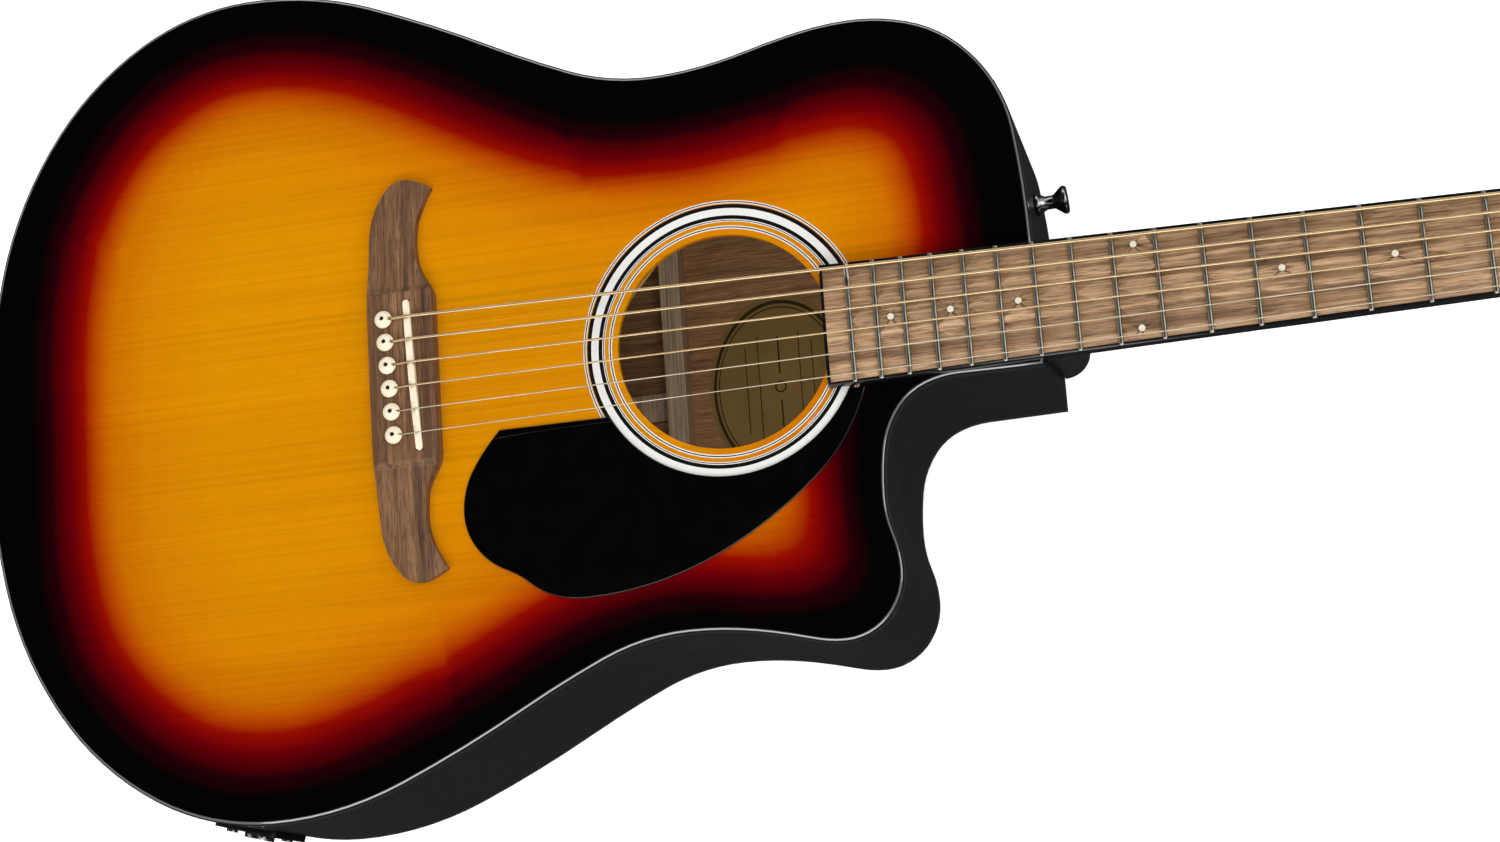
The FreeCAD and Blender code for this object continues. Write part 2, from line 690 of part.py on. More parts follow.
def bridge_pieces():
    block_half, front, back = d.bridge_block_half, d.bridge_front_x, d.bridge_back_x
    tip_y = d.bridge_half - 5
    bass = curve([(back, 0, 90), (back + 1.2, 50, 86), (back + 6, d.bridge_half - 12, 66),
                  (back + 19, d.bridge_half, 2), (front + 0.8, tip_y, -28)])
    cheek = curve([(front + 0.8, tip_y, 238), (front - 8, 0.68 * d.bridge_half, 270),
                   (front - 4.4, block_half + 8, 302), (front, block_half - 3, 270)])
    upper = bass + cheek
    lower = [flip(piece) for piece in upper]
    return upper + [line(front, block_half - 3, front, -block_half + 3)] + lower


def flip(piece):
    """The same piece mirrored to the other side of the centre line."""
    ends = [piece.value(piece.FirstParameter), piece.value(piece.LastParameter)]
    ends = [Vector(p.x, -p.y, 0) for p in ends]
    if isinstance(piece, Part.LineSegment):
        return Part.LineSegment(*ends)
    middle = piece.value((piece.FirstParameter + piece.LastParameter) / 2)
    return Part.Arc(ends[0], Vector(middle.x, -middle.y, 0), ends[1])


def saddle_box(length, width, low, high):
    """A box on the slanted saddle line."""
    shape = block(-width / 2, width / 2, -length / 2, length / 2, low, high)
    shape.rotate(Vector(0, 0, 0), Vector(0, 0, 1), d.saddle_skew)
    shape.translate(Vector(d.saddle_x, 0, 0))
    return shape


def build_bridge():
    column = prism(wire_of(bridge_pieces()), 0, d.bridge_height)
    top, wing, tip = d.bridge_height, d.bridge_wing_height, d.bridge_tip_height
    inner, outer, end = d.bridge_block_half, d.bridge_block_half + 3, d.bridge_half + 1
    side_view = [(-end, 0), (end, 0), (end, tip), (outer, wing), (inner, top), (-inner, top),
                 (-outer, wing), (-end, tip)]
    wire = Part.makePolygon([Vector(-60, y, z) for y, z in side_view + side_view[:1]])
    lengthwise = Part.Face(wire).extrude(Vector(120, 0, 0))
    front, back = d.bridge_front_x, d.bridge_back_x
    end_view = [(back - 1, 0), (front + 6, 0), (front + 6, tip), (front, top - 2.2), (front - 2.4, top),
                (back + 2.6, top), (back - 1, top - 3.4)]
    wire = Part.makePolygon([Vector(x, -end, z) for x, z in end_view + end_view[:1]])
    crosswise = Part.Face(wire).extrude(Vector(0, 2 * end, 0))
    slot = saddle_box(d.saddle_length + 2 * d.glue_gap, d.saddle_thickness + 2 * d.glue_gap,
                      top - d.saddle_slot_depth, top + 5)
    feature("bridge", column.common(lengthwise).common(crosswise).cut([slot] + PIN_HOLES))


def build_saddle():
    low = d.bridge_height - d.saddle_slot_depth
    feature("under_saddle_pickup", saddle_box(d.saddle_length, d.saddle_thickness - 0.4, low,
                                              low + d.pickup_thickness))
    base = low + d.pickup_thickness + d.glue_gap
    blank = saddle_box(d.saddle_length, d.saddle_thickness, base, 20)
    crown = d.string_bed_saddle
    centre = Vector(-50, 0, crown - d.fretboard_arch)
    blank = blank.common(Part.makeCylinder(d.fretboard_arch, 100, centre, Vector(1, 0, 0)))
    grooves = [pipe(string_path(number), STRING_RADII[number - 1] + 0.05) for number in STRINGS]
    ends = [edge for edge in blank.Edges if abs(edge.tangentAt(edge.FirstParameter).z) > 0.99]
    feature("saddle", blank.makeFillet(d.saddle_thickness / 2 - 0.1, ends).cut(grooves))


def build_pins():
    head, shank = d.pin_head_radius, d.pin_radius
    top = d.bridge_height + d.glue_gap
    profile = [(0, top - d.pin_length), (shank - 0.5, top - d.pin_length), (shank - 0.1, top),
               (head - 0.6, top), (head, top + 0.8), (head - 0.2, top + 1.6), (head - 1.4, top + 2.7),
               (d.pin_dot_radius, top + 3.2), (0, top + 3.2)]
    pin = revolve_profile(profile)
    dot = Part.makeCylinder(d.pin_dot_radius, 1.0, Vector(0, 0, top + 2.3))
    seats = [Vector(*pin_place(number), 0) for number in STRINGS]
    pins = []
    for number, seat in zip(STRINGS, seats):
        one = pin.copy()
        one.translate(seat)
        groove = rod(STRING_RADII[number - 1] + 0.1, Vector(*string_drop(number), -20),
                     Vector(*string_drop(number), 20))
        relief = block(seat.x + shank - 0.2, seat.x + head + 1, seat.y - STRING_RADII[number - 1] - 0.3,
                       seat.y + STRING_RADII[number - 1] + 0.3, top - 0.2, top + 1.5 + 2 * STRING_RADII[5])
        foot = Vector(*string_drop(number), -20)
        slot = rod(d.ball_radius + d.glue_gap, foot, Vector(foot.x, foot.y, UNDER_TOP - 2))
        pins.append(one.cut([groove, relief, slot, dot.translated(seat)]))
    feature("bridge_pins", group(pins))
    return [dot.translated(seat) for seat in seats]


# ---------------------------------------------------------------------------------------------------
# Strings
# ---------------------------------------------------------------------------------------------------


def rounded_path(points, radii):
    """Straight runs joined by tangent arcs."""
    edges, start = [], points[0]
    for before, corner, after, radius in zip(points, points[1:], points[2:], radii):
        a, b = (before - corner).normalize(), (after - corner).normalize()
        half = a.getAngle(b) / 2
        reach = radius / math.tan(half)
        middle = (a + b).normalize() * (radius / math.sin(half) - radius)
        first, last = corner + a * reach, corner + b * reach
        edges.append(Part.makeLine(start, first))
        edges.append(Part.Arc(first, corner + middle, last).toShape())
        start = last
    edges.append(Part.makeLine(start, points[-1]))
    return Part.Wire(edges)


def pipe(path, radius):
    start = path.Edges[0].valueAt(path.Edges[0].FirstParameter)
    heading = path.Edges[0].tangentAt(path.Edges[0].FirstParameter)
    profile = Part.Wire([Part.Circle(start, heading, radius).toShape()])
    tube = path.makePipeShell([profile], True, False)
    ideal = math.pi * radius ** 2 * path.Length
    if abs(tube.Volume - ideal) > 0.02 * ideal:
        raise RuntimeError("a pipe's volume is not its section times its length")
    return tube


def string_points(number):
    radius = STRING_RADII[number - 1]
    drop_x, y = string_drop(number)
    saddle_y = string_y(number, d.string_spread_saddle)
    nut_y = string_y(number, d.string_spread_nut)
    saddle_x, _ = skewed(0, saddle_y)
    ball = Vector(drop_x, y, UNDER_TOP - d.bridge_plate_thickness - d.ball_radius)
    exit_point = Vector(drop_x, y, d.bridge_height + radius + 0.25)
    crown = Vector(saddle_x, saddle_y, string_z(saddle_x, number, saddle_y))
    nut = Vector(d.scale_length + 0.5, nut_y, string_z(d.scale_length, number, nut_y))
    along, across = tuner_place(number)
    side = math.copysign(1, across)
    reach = d.post_radius + 2 * radius + 0.3 + radius
    end = on_head(along, across - side * reach, d.wrap_height)
    return [ball, exit_point, crown, nut, end]


def string_path(number):
    return rounded_path(string_points(number), [2 * STRING_RADII[number - 1] + 0.5, 4.0, 6.0])


def string_shape(number):
    ball = Part.makeSphere(d.ball_radius, string_points(number)[0] - Vector(0, 0, d.part_gap))
    return fuse([pipe(string_path(number), STRING_RADII[number - 1]), ball])


def build_strings():
    feature("plain_strings", group([string_shape(number) for number in STRINGS[:2]]))
    feature("wound_strings", group([string_shape(number) for number in STRINGS[2:]]))


# ---------------------------------------------------------------------------------------------------
# Fretboard
# ---------------------------------------------------------------------------------------------------


def taper(x0, x1, inset, low, high):
    """A block between two stations that follows the neck's taper, inset from its edges."""
    a, b = half_width(x0) - inset, half_width(x1) - inset
    return prism(wire_of(polygon([(x0, -a), (x1, -b), (x1, b), (x0, a)])), low, high)


def crown_cylinder(level):
    """A long cylinder whose upper side is the fretboard's arch, with its top at a level."""
    return Part.makeCylinder(d.fretboard_arch, 600, Vector(150, 0, level - d.fretboard_arch), Vector(1, 0, 0))


def dot_places():
    places = []
    for number in DOT_FRETS:
        places.append(((fret_x(number) + fret_x(number - 1)) / 2, 0.0))
    middle = (fret_x(DOUBLE_DOT_FRET) + fret_x(DOUBLE_DOT_FRET - 1)) / 2
    return places + [(middle, 0.34 * d.width_at_end), (middle, -0.34 * d.width_at_end)]


def build_fretboard():
    top = crown_cylinder(d.fretboard_thickness)
    start, end = d.fretboard_end_x, d.scale_length
    edge = d.neck_binding_width
    core = taper(start + edge, end, edge, 0, 10).common(top)
    whole = taper(start, end, 0, 0, 10).common(top)
    hollow = taper(start + edge - d.glue_gap / 2, end + 1, edge - d.glue_gap / 2, -1, 11)
    slots = [block(fret_x(n) - d.tang_width / 2 - 0.05, fret_x(n) + d.tang_width / 2 + 0.05, -40, 40,
                   d.fretboard_thickness - d.tang_depth - 1.2, 10) for n in range(1, int(d.fret_count) + 1)]
    holes = [Part.makeCylinder(d.dot_radius, 10, Vector(x, y, d.fretboard_thickness - d.dot_depth))
             for x, y in dot_places()]
    side_holes = [rod(d.side_dot_radius, *side_dot_span(number)) for number in DOT_FRETS + [DOUBLE_DOT_FRET]]
    feature("fretboard", core.cut(slots + holes))
    feature("fretboard_binding", whole.cut(hollow).cut(side_holes))
    return [hole.common(top) for hole in holes] + side_holes


def build_fretboard_and_dots():
    feature("inlay_dots", group(build_pins() + build_fretboard()))


def side_dot_span(number):
    """Both ends of the small dot in the binding, facing the player."""
    x = (fret_x(number) + fret_x(number - 1)) / 2
    outer = half_width(x)
    return Vector(x, outer - 1.0, 3.0), Vector(x, outer, 3.0)


def fret_shape(number):
    """A fret: a domed crown on a thin tang, bent to the fretboard's arch, with bevelled ends."""
    x, half = fret_x(number), d.fret_width / 2
    level, tang = d.fretboard_thickness, d.tang_width / 2
    peak = Vector(x, 0, level + d.fret_height)
    crown = Part.Arc(Vector(x - half, 0, level), peak, Vector(x + half, 0, level))
    foot = [(x + half, level), (x + tang, level), (x + tang, level - d.tang_depth),
            (x - tang, level - d.tang_depth), (x - tang, level), (x - half, level)]
    edges = [crown.toShape()]
    edges += [Part.makeLine(Vector(a[0], 0, a[1]), Vector(b[0], 0, b[1])) for a, b in zip(foot, foot[1:])]
    face = Part.Face(Part.Wire(Part.__sortEdges__(edges)))
    axis = Vector(x, 0, level - d.fretboard_arch)
    face.rotate(axis, Vector(1, 0, 0), -6)
    strip = face.revolve(axis, Vector(1, 0, 0), 12)
    wide = half_width(x) - 0.15
    ends = [(-wide, 0), (wide, 0), (wide, level - 0.5), (wide - 1.3, level + 1.6), (-wide + 1.3, level + 1.6),
            (-wide, level - 0.5)]
    wire = Part.makePolygon([Vector(x - 5, y, z) for y, z in ends + ends[:1]])
    strip = strip.common(Part.Face(wire).extrude(Vector(10, 0, 0)))
    inner = half_width(x) - d.neck_binding_width - 0.2
    trim = [block(x - 5, x + 5, inner, 40, 0, level - 0.95),
            block(x - 5, x + 5, -40, -inner, 0, level - 0.95)]
    edge_gap = block(x - 5, x + 5, -40, 40, -1, 10).common(crown_cylinder(level))
    shoulder = [edge_gap.common(block(x - 5, x + 5, inner, 40, -1, 10)),
                edge_gap.common(block(x - 5, x + 5, -40, -inner, -1, 10))]
    return strip.cut(trim + shoulder)


def build_frets():
    feature("frets", group([fret_shape(number) for number in range(1, int(d.fret_count) + 1)]))


def build_nut():
    x0, x1 = d.scale_length + d.glue_gap, d.scale_length + d.nut_length
    half = half_width(d.scale_length)
    profile = [(x0, 0), (x1, 0), (x1, d.nut_height - 2.4), (x0 + 2.2, d.nut_height), (x0, d.nut_height)]
    wire = Part.makePolygon([Vector(x, -half, z) for x, z in profile + profile[:1]])
    blank = Part.Face(wire).extrude(Vector(0, 2 * half, 0))
    slots = []
    for number in STRINGS:
        rest, radius = string_points(number)[3], STRING_RADII[number - 1] + 0.05
        slots.append(pipe(string_path(number), radius))
        slots.append(block(x0 - 1, x0 + 4.5, rest.y - radius, rest.y + radius, rest.z - 0.1, 15))
    feature("nut", blank.cut(slots))


# ---------------------------------------------------------------------------------------------------
# Neck, heel and head
# ---------------------------------------------------------------------------------------------------


def d_section(x, half, depth):
    """A neck section at X: flat on top, half an ellipse below."""
    centre = Vector(x, 0, 0)
    arc = Part.ArcOfEllipse(Part.Ellipse(Vector(x, half, 0), Vector(x, 0, -depth), centre), 0, math.pi)
    edges = [Part.makeLine(Vector(x, -half, 0), Vector(x, half, 0)), arc.toShape()]
    return Part.Wire(Part.__sortEdges__(edges))


def heel_section(level, half, length):
    """A heel section at a height: flat against the body, half an ellipse towards the nut."""
    x = d.body_end_x + d.glue_gap
    side, tip, centre = Vector(x, half, level), Vector(x + length, 0, level), Vector(x, 0, level)
    if length >= half:
        bow = Part.ArcOfEllipse(Part.Ellipse(tip, side, centre), -math.pi / 2, math.pi / 2)
    else:
        bow = Part.ArcOfEllipse(Part.Ellipse(side, tip, centre), 0, math.pi)
    edges = [Part.makeLine(Vector(x, -half, level), Vector(x, half, level)), bow.toShape()]
    return Part.Wire(Part.__sortEdges__(edges))


HEEL_BOTTOM = back_level(d.body_end_x, 0) + d.heel_cap_thickness


def heel():
    top_half = half_width(d.body_end_x) - 0.8
    depth = -HEEL_BOTTOM
    toe_half, toe = d.heel_toe_half, d.heel_toe_length
    rows = [(0.06, 0.99, 1.0), (0.16, 0.93, 0.66), (0.30, 0.84, 0.40), (0.5, 0.72, 0.22), (0.75, 0.6, 0.10)]
    sections = []
    for share, wide, long in rows:
        half = toe_half + (top_half - toe_half) * (wide - 0.45) / 0.55
        sections.append(heel_section(-share * depth, half, toe + (d.heel_length - toe) * long))
    sections.append(heel_section(HEEL_BOTTOM, toe_half, toe))
    return Part.makeLoft(sections, True, False)


def head_outline():
    start, full, end, length = d.head_start_half, d.head_half, d.head_end_half, d.head_length
    upper = curve([(0, start, 20), (24, full - 3, 28), (48, full, 0), (length - 16, end, -4),
                   (length - 3, end - 12, -78), (length, 0, -90)])
    return upper + [flip(piece) for piece in upper] + [line(0, -start, 0, start)]


def head_prism(low, high):
    shape = prism(wire_of(head_outline()), low, high)
    shape.Placement = HEAD.multiply(shape.Placement)
    return shape


def head_cylinder(u, v, low, high, radius):
    return rod(radius, on_head(u, v, low), on_head(u, v, high))


def head_block(u0, u1, v0, v1, w0, w1):
    shape = block(u0, u1, v0, v1, w0, w1)
    shape.Placement = HEAD.multiply(shape.Placement)
    return shape


def rod_pocket():
    """The opening under the cover, where the rod's nut turns: from the nut's end into the head."""
    radius = d.rod_nut_radius + 1.0
    length = d.rod_nut_length + 10
    return block(HEAD_START_X - 0.1, HEAD_START_X + length, -radius, radius, -d.rod_axis_depth - radius, 12)


def neck_bolt_places():
    return [(d.neck_bolt_y, d.neck_bolt_first_z - step * d.neck_bolt_pitch) for step in range(2)]


def build_neck():
    x0, x1 = d.body_end_x + d.glue_gap, d.scale_length + d.nut_length + d.glue_gap
    middle_x = (x0 + x1) / 2
    sections = [d_section(x0, half_width(x0), d.neck_depth_heel),
                d_section(middle_x, half_width(middle_x), (d.neck_depth_heel + d.neck_depth_nut) / 2),
                d_section(x1, half_width(d.scale_length), d.neck_depth_nut)]
    shaft = Part.makeLoft(sections, True, True)
    blade = head_prism(-d.veneer_thickness - d.head_thickness, -d.veneer_thickness - d.glue_gap)
    blade = blade.common(block(600, 900, -100, 100, -200, 0))
    channel = rod(d.rod_radius + 0.15, Vector(x0 + 8, 0, -d.rod_axis_depth),
                  Vector(x1 + 10, 0, -d.rod_axis_depth))
    groove = block(x0 + 8, d.scale_length + d.nut_length - 4, -1.5, 1.5, -d.rod_axis_depth, 1)
    holes = []
    for number in STRINGS:
        along, across = tuner_place(number)
        holes.append(head_cylinder(along, across, -40, 5, d.bushing_radius + d.glue_gap))
    bolt_hole = d.neck_bolt_radius + d.glue_gap
    bolts = [rod(bolt_hole, Vector(x0 - 1, y, z), Vector(x0 + 9, y, z)) for y, z in neck_bolt_places()]
    body = fuse([shaft, heel(), blade])
    feature("neck", body.cut([channel, groove, rod_pocket()] + holes + bolts))
    cap = Part.Face(heel_section(HEEL_BOTTOM - d.glue_gap, d.heel_toe_half, d.heel_toe_length))
    feature("heel_cap", cap.extrude(Vector(0, 0, d.glue_gap - d.heel_cap_thickness)))
    screws = []
    start = d.body_end_x - INSIDE - d.neck_block_length - d.glue_gap
    for y, z in neck_bolt_places():
        shank = rod(d.neck_bolt_radius, Vector(start - 2, y, z), Vector(x0 + 8.5, y, z))
        washer = rod(2.5 * d.neck_bolt_radius, Vector(start - 1.2, y, z), Vector(start, y, z))
        head = rod(1.8 * d.neck_bolt_radius, Vector(start - 6.2, y, z), Vector(start - 1.2, y, z))
        screws.append(fuse([shank, washer, head]))
    feature("neck_bolts", group(screws))


def build_veneer():
    bores = [circle(*tuner_place(number), d.bushing_radius + d.glue_gap) for number in STRINGS]
    screws = [circle(u, v, COVER_SCREW_HOLE) for u, v in cover_screw_places()]
    body = pad_blank("headstock_veneer", head_outline(), 0, "veneer_thickness", downwards=True)
    half, length = d.rod_nut_radius + 1.0, d.rod_nut_length + 10
    window = polygon([(-5, -half), (length, -half), (length, half), (-5, half)])
    pocket(body, "rod_window", window, 0, "veneer_thickness")
    pocket(body, "veneer_holes", bores + screws, 0, "veneer_thickness")
    body.Placement = HEAD
    finish(body, "headstock_veneer")


COVER_SCREW_HOLE = 1.0


def cover_screw_places():
    across = d.rod_cover_half - 3.5
    return [(6.0, across), (6.0, -across), (d.rod_cover_length - 3.0, 0.0)]


def build_truss_rod():
    start = Vector(d.body_end_x + d.glue_gap + 8.2, 0, -d.rod_axis_depth)
    along = Rotation(Vector(0, 0, 1), Vector(1, 0, 0))
    length = "dims.scale_length + dims.nut_length + dims.rod_nut_length - dims.body_end_x - 7.2"
    bound_rod("truss_rod", "dims.rod_radius", length, Placement(start, along))
    corners = [(d.rod_nut_radius * math.cos(radians(60 * k)), d.rod_nut_radius * math.sin(radians(60 * k)))
               for k in range(6)]
    pieces = polygon(corners) + [circle(0, 0, d.rod_radius + d.shaft_fit)]
    body = pad_blank("truss_rod_nut", pieces, 0, "rod_nut_length")
    body.Placement = Placement(Vector(HEAD_START_X + 0.4, 0, -d.rod_axis_depth), along)
    finish(body, "truss_rod_nut")


def build_rod_cover():
    half, length = d.rod_cover_half, d.rod_cover_length
    rim = curve([(2.0, -half, 0), (12.0, -half + 1.0, 14), (length - 4, -3.5, 24), (length, 0, 90)])
    pieces = rim + [flip(piece) for piece in rim] + [line(2.0, half, 2.0, -half)]
    pieces += [circle(u, v, COVER_SCREW_HOLE) for u, v in cover_screw_places()]
    body = pad_blank("truss_rod_cover", pieces, 0, "rod_cover_thickness")
    body.Placement = HEAD
    finish(body, "truss_rod_cover")


def cover_screws():
    screws, face = [], d.rod_cover_thickness + 0.05
    for u, v in cover_screw_places():
        shank = head_cylinder(u, v, -d.veneer_thickness, face, COVER_SCREW_HOLE - 0.1)
        screws.append(fuse([shank, head_cylinder(u, v, face, face + 0.7, 2.0)]))
    return screws


# ---------------------------------------------------------------------------------------------------
# Tuners
# ---------------------------------------------------------------------------------------------------


def back_of_head():
    return -d.veneer_thickness - d.head_thickness


def tuner_signs(number):
    along, across = tuner_place(number)
    return along, across, math.copysign(1, across)


def worm_level():
    return back_of_head() - d.glue_gap - d.housing_height / 2


def housing(number):
    """A closed gear box behind the head: hollow, with a hole for the post and one for the worm's shaft."""
    along, across, side = tuner_signs(number)
    top = back_of_head() - d.glue_gap
    u0, u1 = along - d.housing_length / 2 + 2.6, along + d.housing_length / 2 + 2.6
    half, wall = d.housing_width / 2, d.housing_wall
    box = head_block(u0, u1, across - half, across + half, top - d.housing_height, top)
    upright = head_direction(0, 0, 1)
    edges = [edge for edge in box.Edges if abs(edge.tangentAt(edge.FirstParameter).dot(upright)) > 0.99]
    box = box.makeFillet(2.0, edges)
    room = head_block(u0 + wall, u1 - wall, across - half + wall, across + half - wall,
                      top - d.housing_height + wall, top - wall)
    post = head_cylinder(along, across, top - wall - 1, top + 1, d.post_radius + d.shaft_fit)
    axis = worm_level()
    shaft = rod(d.knob_shaft_radius + d.shaft_fit, on_head(along + d.worm_offset, across, axis),
                on_head(along + d.worm_offset, across + side * 30, axis))
    ear = head_cylinder(u0 - 2.2, across, top - 1.6, top, 3.4)
    hole = head_cylinder(u0 - 2.2, across, top - 10, top + 10, 1.2)
    return fuse([box, ear]).cut([room, post, shaft, hole])


def housing_screw(number):
    along, across, _ = tuner_signs(number)
    top = back_of_head() - d.glue_gap
    u = along - d.housing_length / 2 + 0.4
    shank = head_cylinder(u, across, top - 1.65, top + 0.05, 1.05)
    head = head_cylinder(u, across, top - 2.8, top - 1.65, 2.1)
    return fuse([shank, head])


def post_profile(number):
    """Worm wheel at the foot, the string's turns near the top, and a collar above them."""
    radius, turn_radius, wheel = d.post_radius, STRING_RADII[number - 1], d.wheel_radius
    low, high = worm_level() - d.wheel_thickness / 2, worm_level() + d.wheel_thickness / 2
    points = [(0, low), (wheel, low), (wheel, high), (radius, high)]
    for step in (-1, 0, 1):
        level, half = d.wrap_height + 2.1 * turn_radius * step, 0.714 * turn_radius
        points += [(radius, level - half), (radius, level + half, radius + 1.7 * turn_radius)]
    top = d.post_height
    return points + [(radius, top - 2.5), (radius + 0.5, top - 2.0), (radius + 0.5, top - 0.5),
                     (radius, top), (0, top)]


def knob(number):
    """A worm, its shaft and the oval button that turns them."""
    along, across, side = tuner_signs(number)
    u, level = along + d.worm_offset, worm_level()
    inner = d.housing_width / 2 - d.housing_wall - 0.4
    button_start = d.head_half + d.knob_clear

    def on_axis(v):
        return on_head(u, v, level)

    worm = rod(d.worm_radius, on_axis(across - side * inner), on_axis(across + side * inner))
    shaft = rod(d.knob_shaft_radius, on_axis(across), on_axis(side * (button_start + 4)))
    collar = rod(3.2, on_axis(side * (button_start - 2.4)), on_axis(side * (button_start + 1)))
    centre = on_axis(side * (button_start + d.knob_length / 2 - 1))
    oval = Part.makeSphere(1.0)
    stretch = FreeCAD.Matrix()
    stretch.scale(d.knob_width / 2, d.knob_length / 2, d.knob_thickness / 2)
    oval = oval.transformGeometry(stretch)
    oval.Placement = Placement(centre, HEAD.Rotation)
    return worm.multiFuse([shaft, collar, oval])


def bushing(number):
    along, across, _ = tuner_signs(number)
    sleeve = head_cylinder(along, across, back_of_head(), 0.05, d.bushing_radius)
    flange = head_cylinder(along, across, 0.05, d.bushing_flange_height, d.bushing_flange_radius)
    bore = head_cylinder(along, across, -30, 10, d.post_radius + d.shaft_fit)
    return fuse([sleeve, flange]).cut(bore)


def build_tuners():
    feature("tuner_housings", group([housing(number) for number in STRINGS]))
    feature("tuner_bushings", group([bushing(number) for number in STRINGS]))
    for number in STRINGS:
        seat = Placement(on_head(*tuner_place(number), 0), HEAD.Rotation)
        turned_body(f"tuner_post_{number}", post_profile(number), seat)
        feature(f"tuner_knob_{number}", knob(number))


# ---------------------------------------------------------------------------------------------------
# Electrics
# ---------------------------------------------------------------------------------------------------


def preamp_frame():
    """Point on the bass wall and the outward normal where the control panel sits."""
    return wall_at(Vector(d.preamp_x, 0, 0), Vector(0, 1, 0))


def on_wall(point, normal, along, out, level):
    tangent = Vector(normal.y, -normal.x, 0)
    return Vector(point.x, point.y, 0) + tangent * along + normal * out + Vector(0, 0, level)


def wall_block(point, normal, length, inner, outer, low, high):
    """A box beside the wall: length along it, from inner to outer along its normal."""
    shape = block(-length / 2, length / 2, inner, outer, low, high)
    shape.rotate(Vector(0, 0, 0), Vector(0, 0, 1), math.degrees(math.atan2(-normal.x, normal.y)))
    shape.translate(Vector(point.x, point.y, 0))
    return shape


def preamp_span(margin=0.0):
    half = d.preamp_height / 2
    return d.preamp_depth_z - half - margin, d.preamp_depth_z + half + margin


def preamp_window():
    point, normal = preamp_frame()
    return wall_block(point, normal, d.preamp_length + 2 * d.glue_gap, -20, 20, *preamp_span(d.glue_gap))


def build_preamp():
    point, normal = preamp_frame()
    low, high = preamp_span()
    region = wall_block(point, normal, d.preamp_length, -14, 14, low, high)
    plate = outline_ring(-d.panel_proud, d.side_thickness, low - 1, high + 1).common(region)
    middle = d.preamp_depth_z
    stems, knobs = [], []
    for step in (-1, 0, 1):
        start = on_wall(point, normal, step * d.knob_pitch, -12, middle + 6)
        stems.append(rod(d.stem_radius + d.shaft_fit, start, start + normal * 30))
        knobs.append(start)
    button_start = on_wall(point, normal, -d.knob_pitch, -10, middle - 9)
    button_hole = rod(d.button_radius + d.part_gap, button_start, button_start + normal * 30)
    screen = wall_block(point, normal, d.display_length, -14, 14, middle - 9 - d.display_height / 2,
                        middle - 9 + d.display_height / 2)
    screen.translate(Vector(normal.y, -normal.x, 0) * 8.0)
    screen_seat = screen.common(outline_ring(-d.panel_proud, 1.0, low, high))
    feature("preamp_panel", plate.cut(stems + [button_hole, screen_seat]))
    feature("tuner_display", screen.common(outline_ring(-d.panel_proud + 0.1, 0.9, low, high)))
    inner = -d.side_thickness - 4.5
    deep = inner - d.preamp_box_depth
    case = wall_block(point, normal, d.preamp_length - 4, deep, inner, low + 1, high - 1)
    feature("preamp_housing", case.cut(stems + [button_hole]))
    outwards = Rotation(Vector(0, 0, 1), normal)
    stem, cap, rim = d.stem_radius, d.knob_radius, 14 + d.knob_height
    knob_points = [(0, 0), (stem, 0), (stem, 14), (cap, 14), (cap, rim - 0.8), (cap - 0.8, rim), (0, rim)]
    for index, start in enumerate(knobs, start=1):
        turned_body(f"preamp_knob_{index}", knob_points, Placement(start + normal * d.part_gap, outwards))
    foot = button_start + normal * (d.button_travel + d.part_gap)
    bound_rod("tuner_button", "dims.button_radius", "dims.button_length", Placement(foot, outwards))


def jack_frame():
    return wall_at(Vector(d.jack_x, 0, 0), Vector(0, -1, 0))


def jack_place(along, out, across):
    """A point of the jack plate: along the wall, out of it, and up it from the plate's middle."""
    point, normal = jack_frame()
    return on_wall(point, normal, along, out, d.jack_depth_z + across)


def jack_rod(radius, low, high, along=0.0, across=0.0):
    return rod(radius, jack_place(along, low, across), jack_place(along, high, across))


def jack_hole():
    return jack_rod(d.jack_body_radius + 0.5, -20, 20)


def jack_screw_spots():
    return [(a * d.jack_screw_along, b * d.jack_screw_across) for a in (-1, 1) for b in (-1, 1)]


def build_jack():
    point, normal = jack_frame()
    face = d.part_gap + d.jack_plate_thickness
    low, high = d.jack_depth_z - d.jack_plate_width / 2, d.jack_depth_z + d.jack_plate_width / 2
    plate = wall_block(point, normal, d.jack_plate_length, -8, face, low, high)
    corners = [edge for edge in plate.Edges if abs(edge.tangentAt(edge.FirstParameter).dot(normal)) > 0.99]
    plate = plate.makeFillet(3.0, corners).cut(prism(outline(-d.glue_gap), BOTTOM, 0))
    holes = [jack_rod(1.6, -9, 9, along, across) for along, across in jack_screw_spots()]
    feature("jack_plate", plate.cut(holes + [jack_rod(d.jack_body_radius + d.glue_gap, -9, 9)]))
    tube = jack_rod(d.jack_body_radius, 4 - d.jack_length, face + 2.5)
    nut = jack_rod(d.jack_body_radius + 2.2, face + 0.05, face + 2.5)
    feature("jack_socket", fuse([tube, nut]).cut(jack_rod(d.jack_bore_radius, -60, 20)))


def jack_screws():
    face = d.part_gap + d.jack_plate_thickness + 0.05
    return [fuse([jack_rod(1.5, 0.6, face + 0.4, *spot), jack_rod(2.7, face, face + 1.3, *spot)])
            for spot in jack_screw_spots()]


# ---------------------------------------------------------------------------------------------------
# Strap buttons
# ---------------------------------------------------------------------------------------------------


STRAP_BORE = 2.0


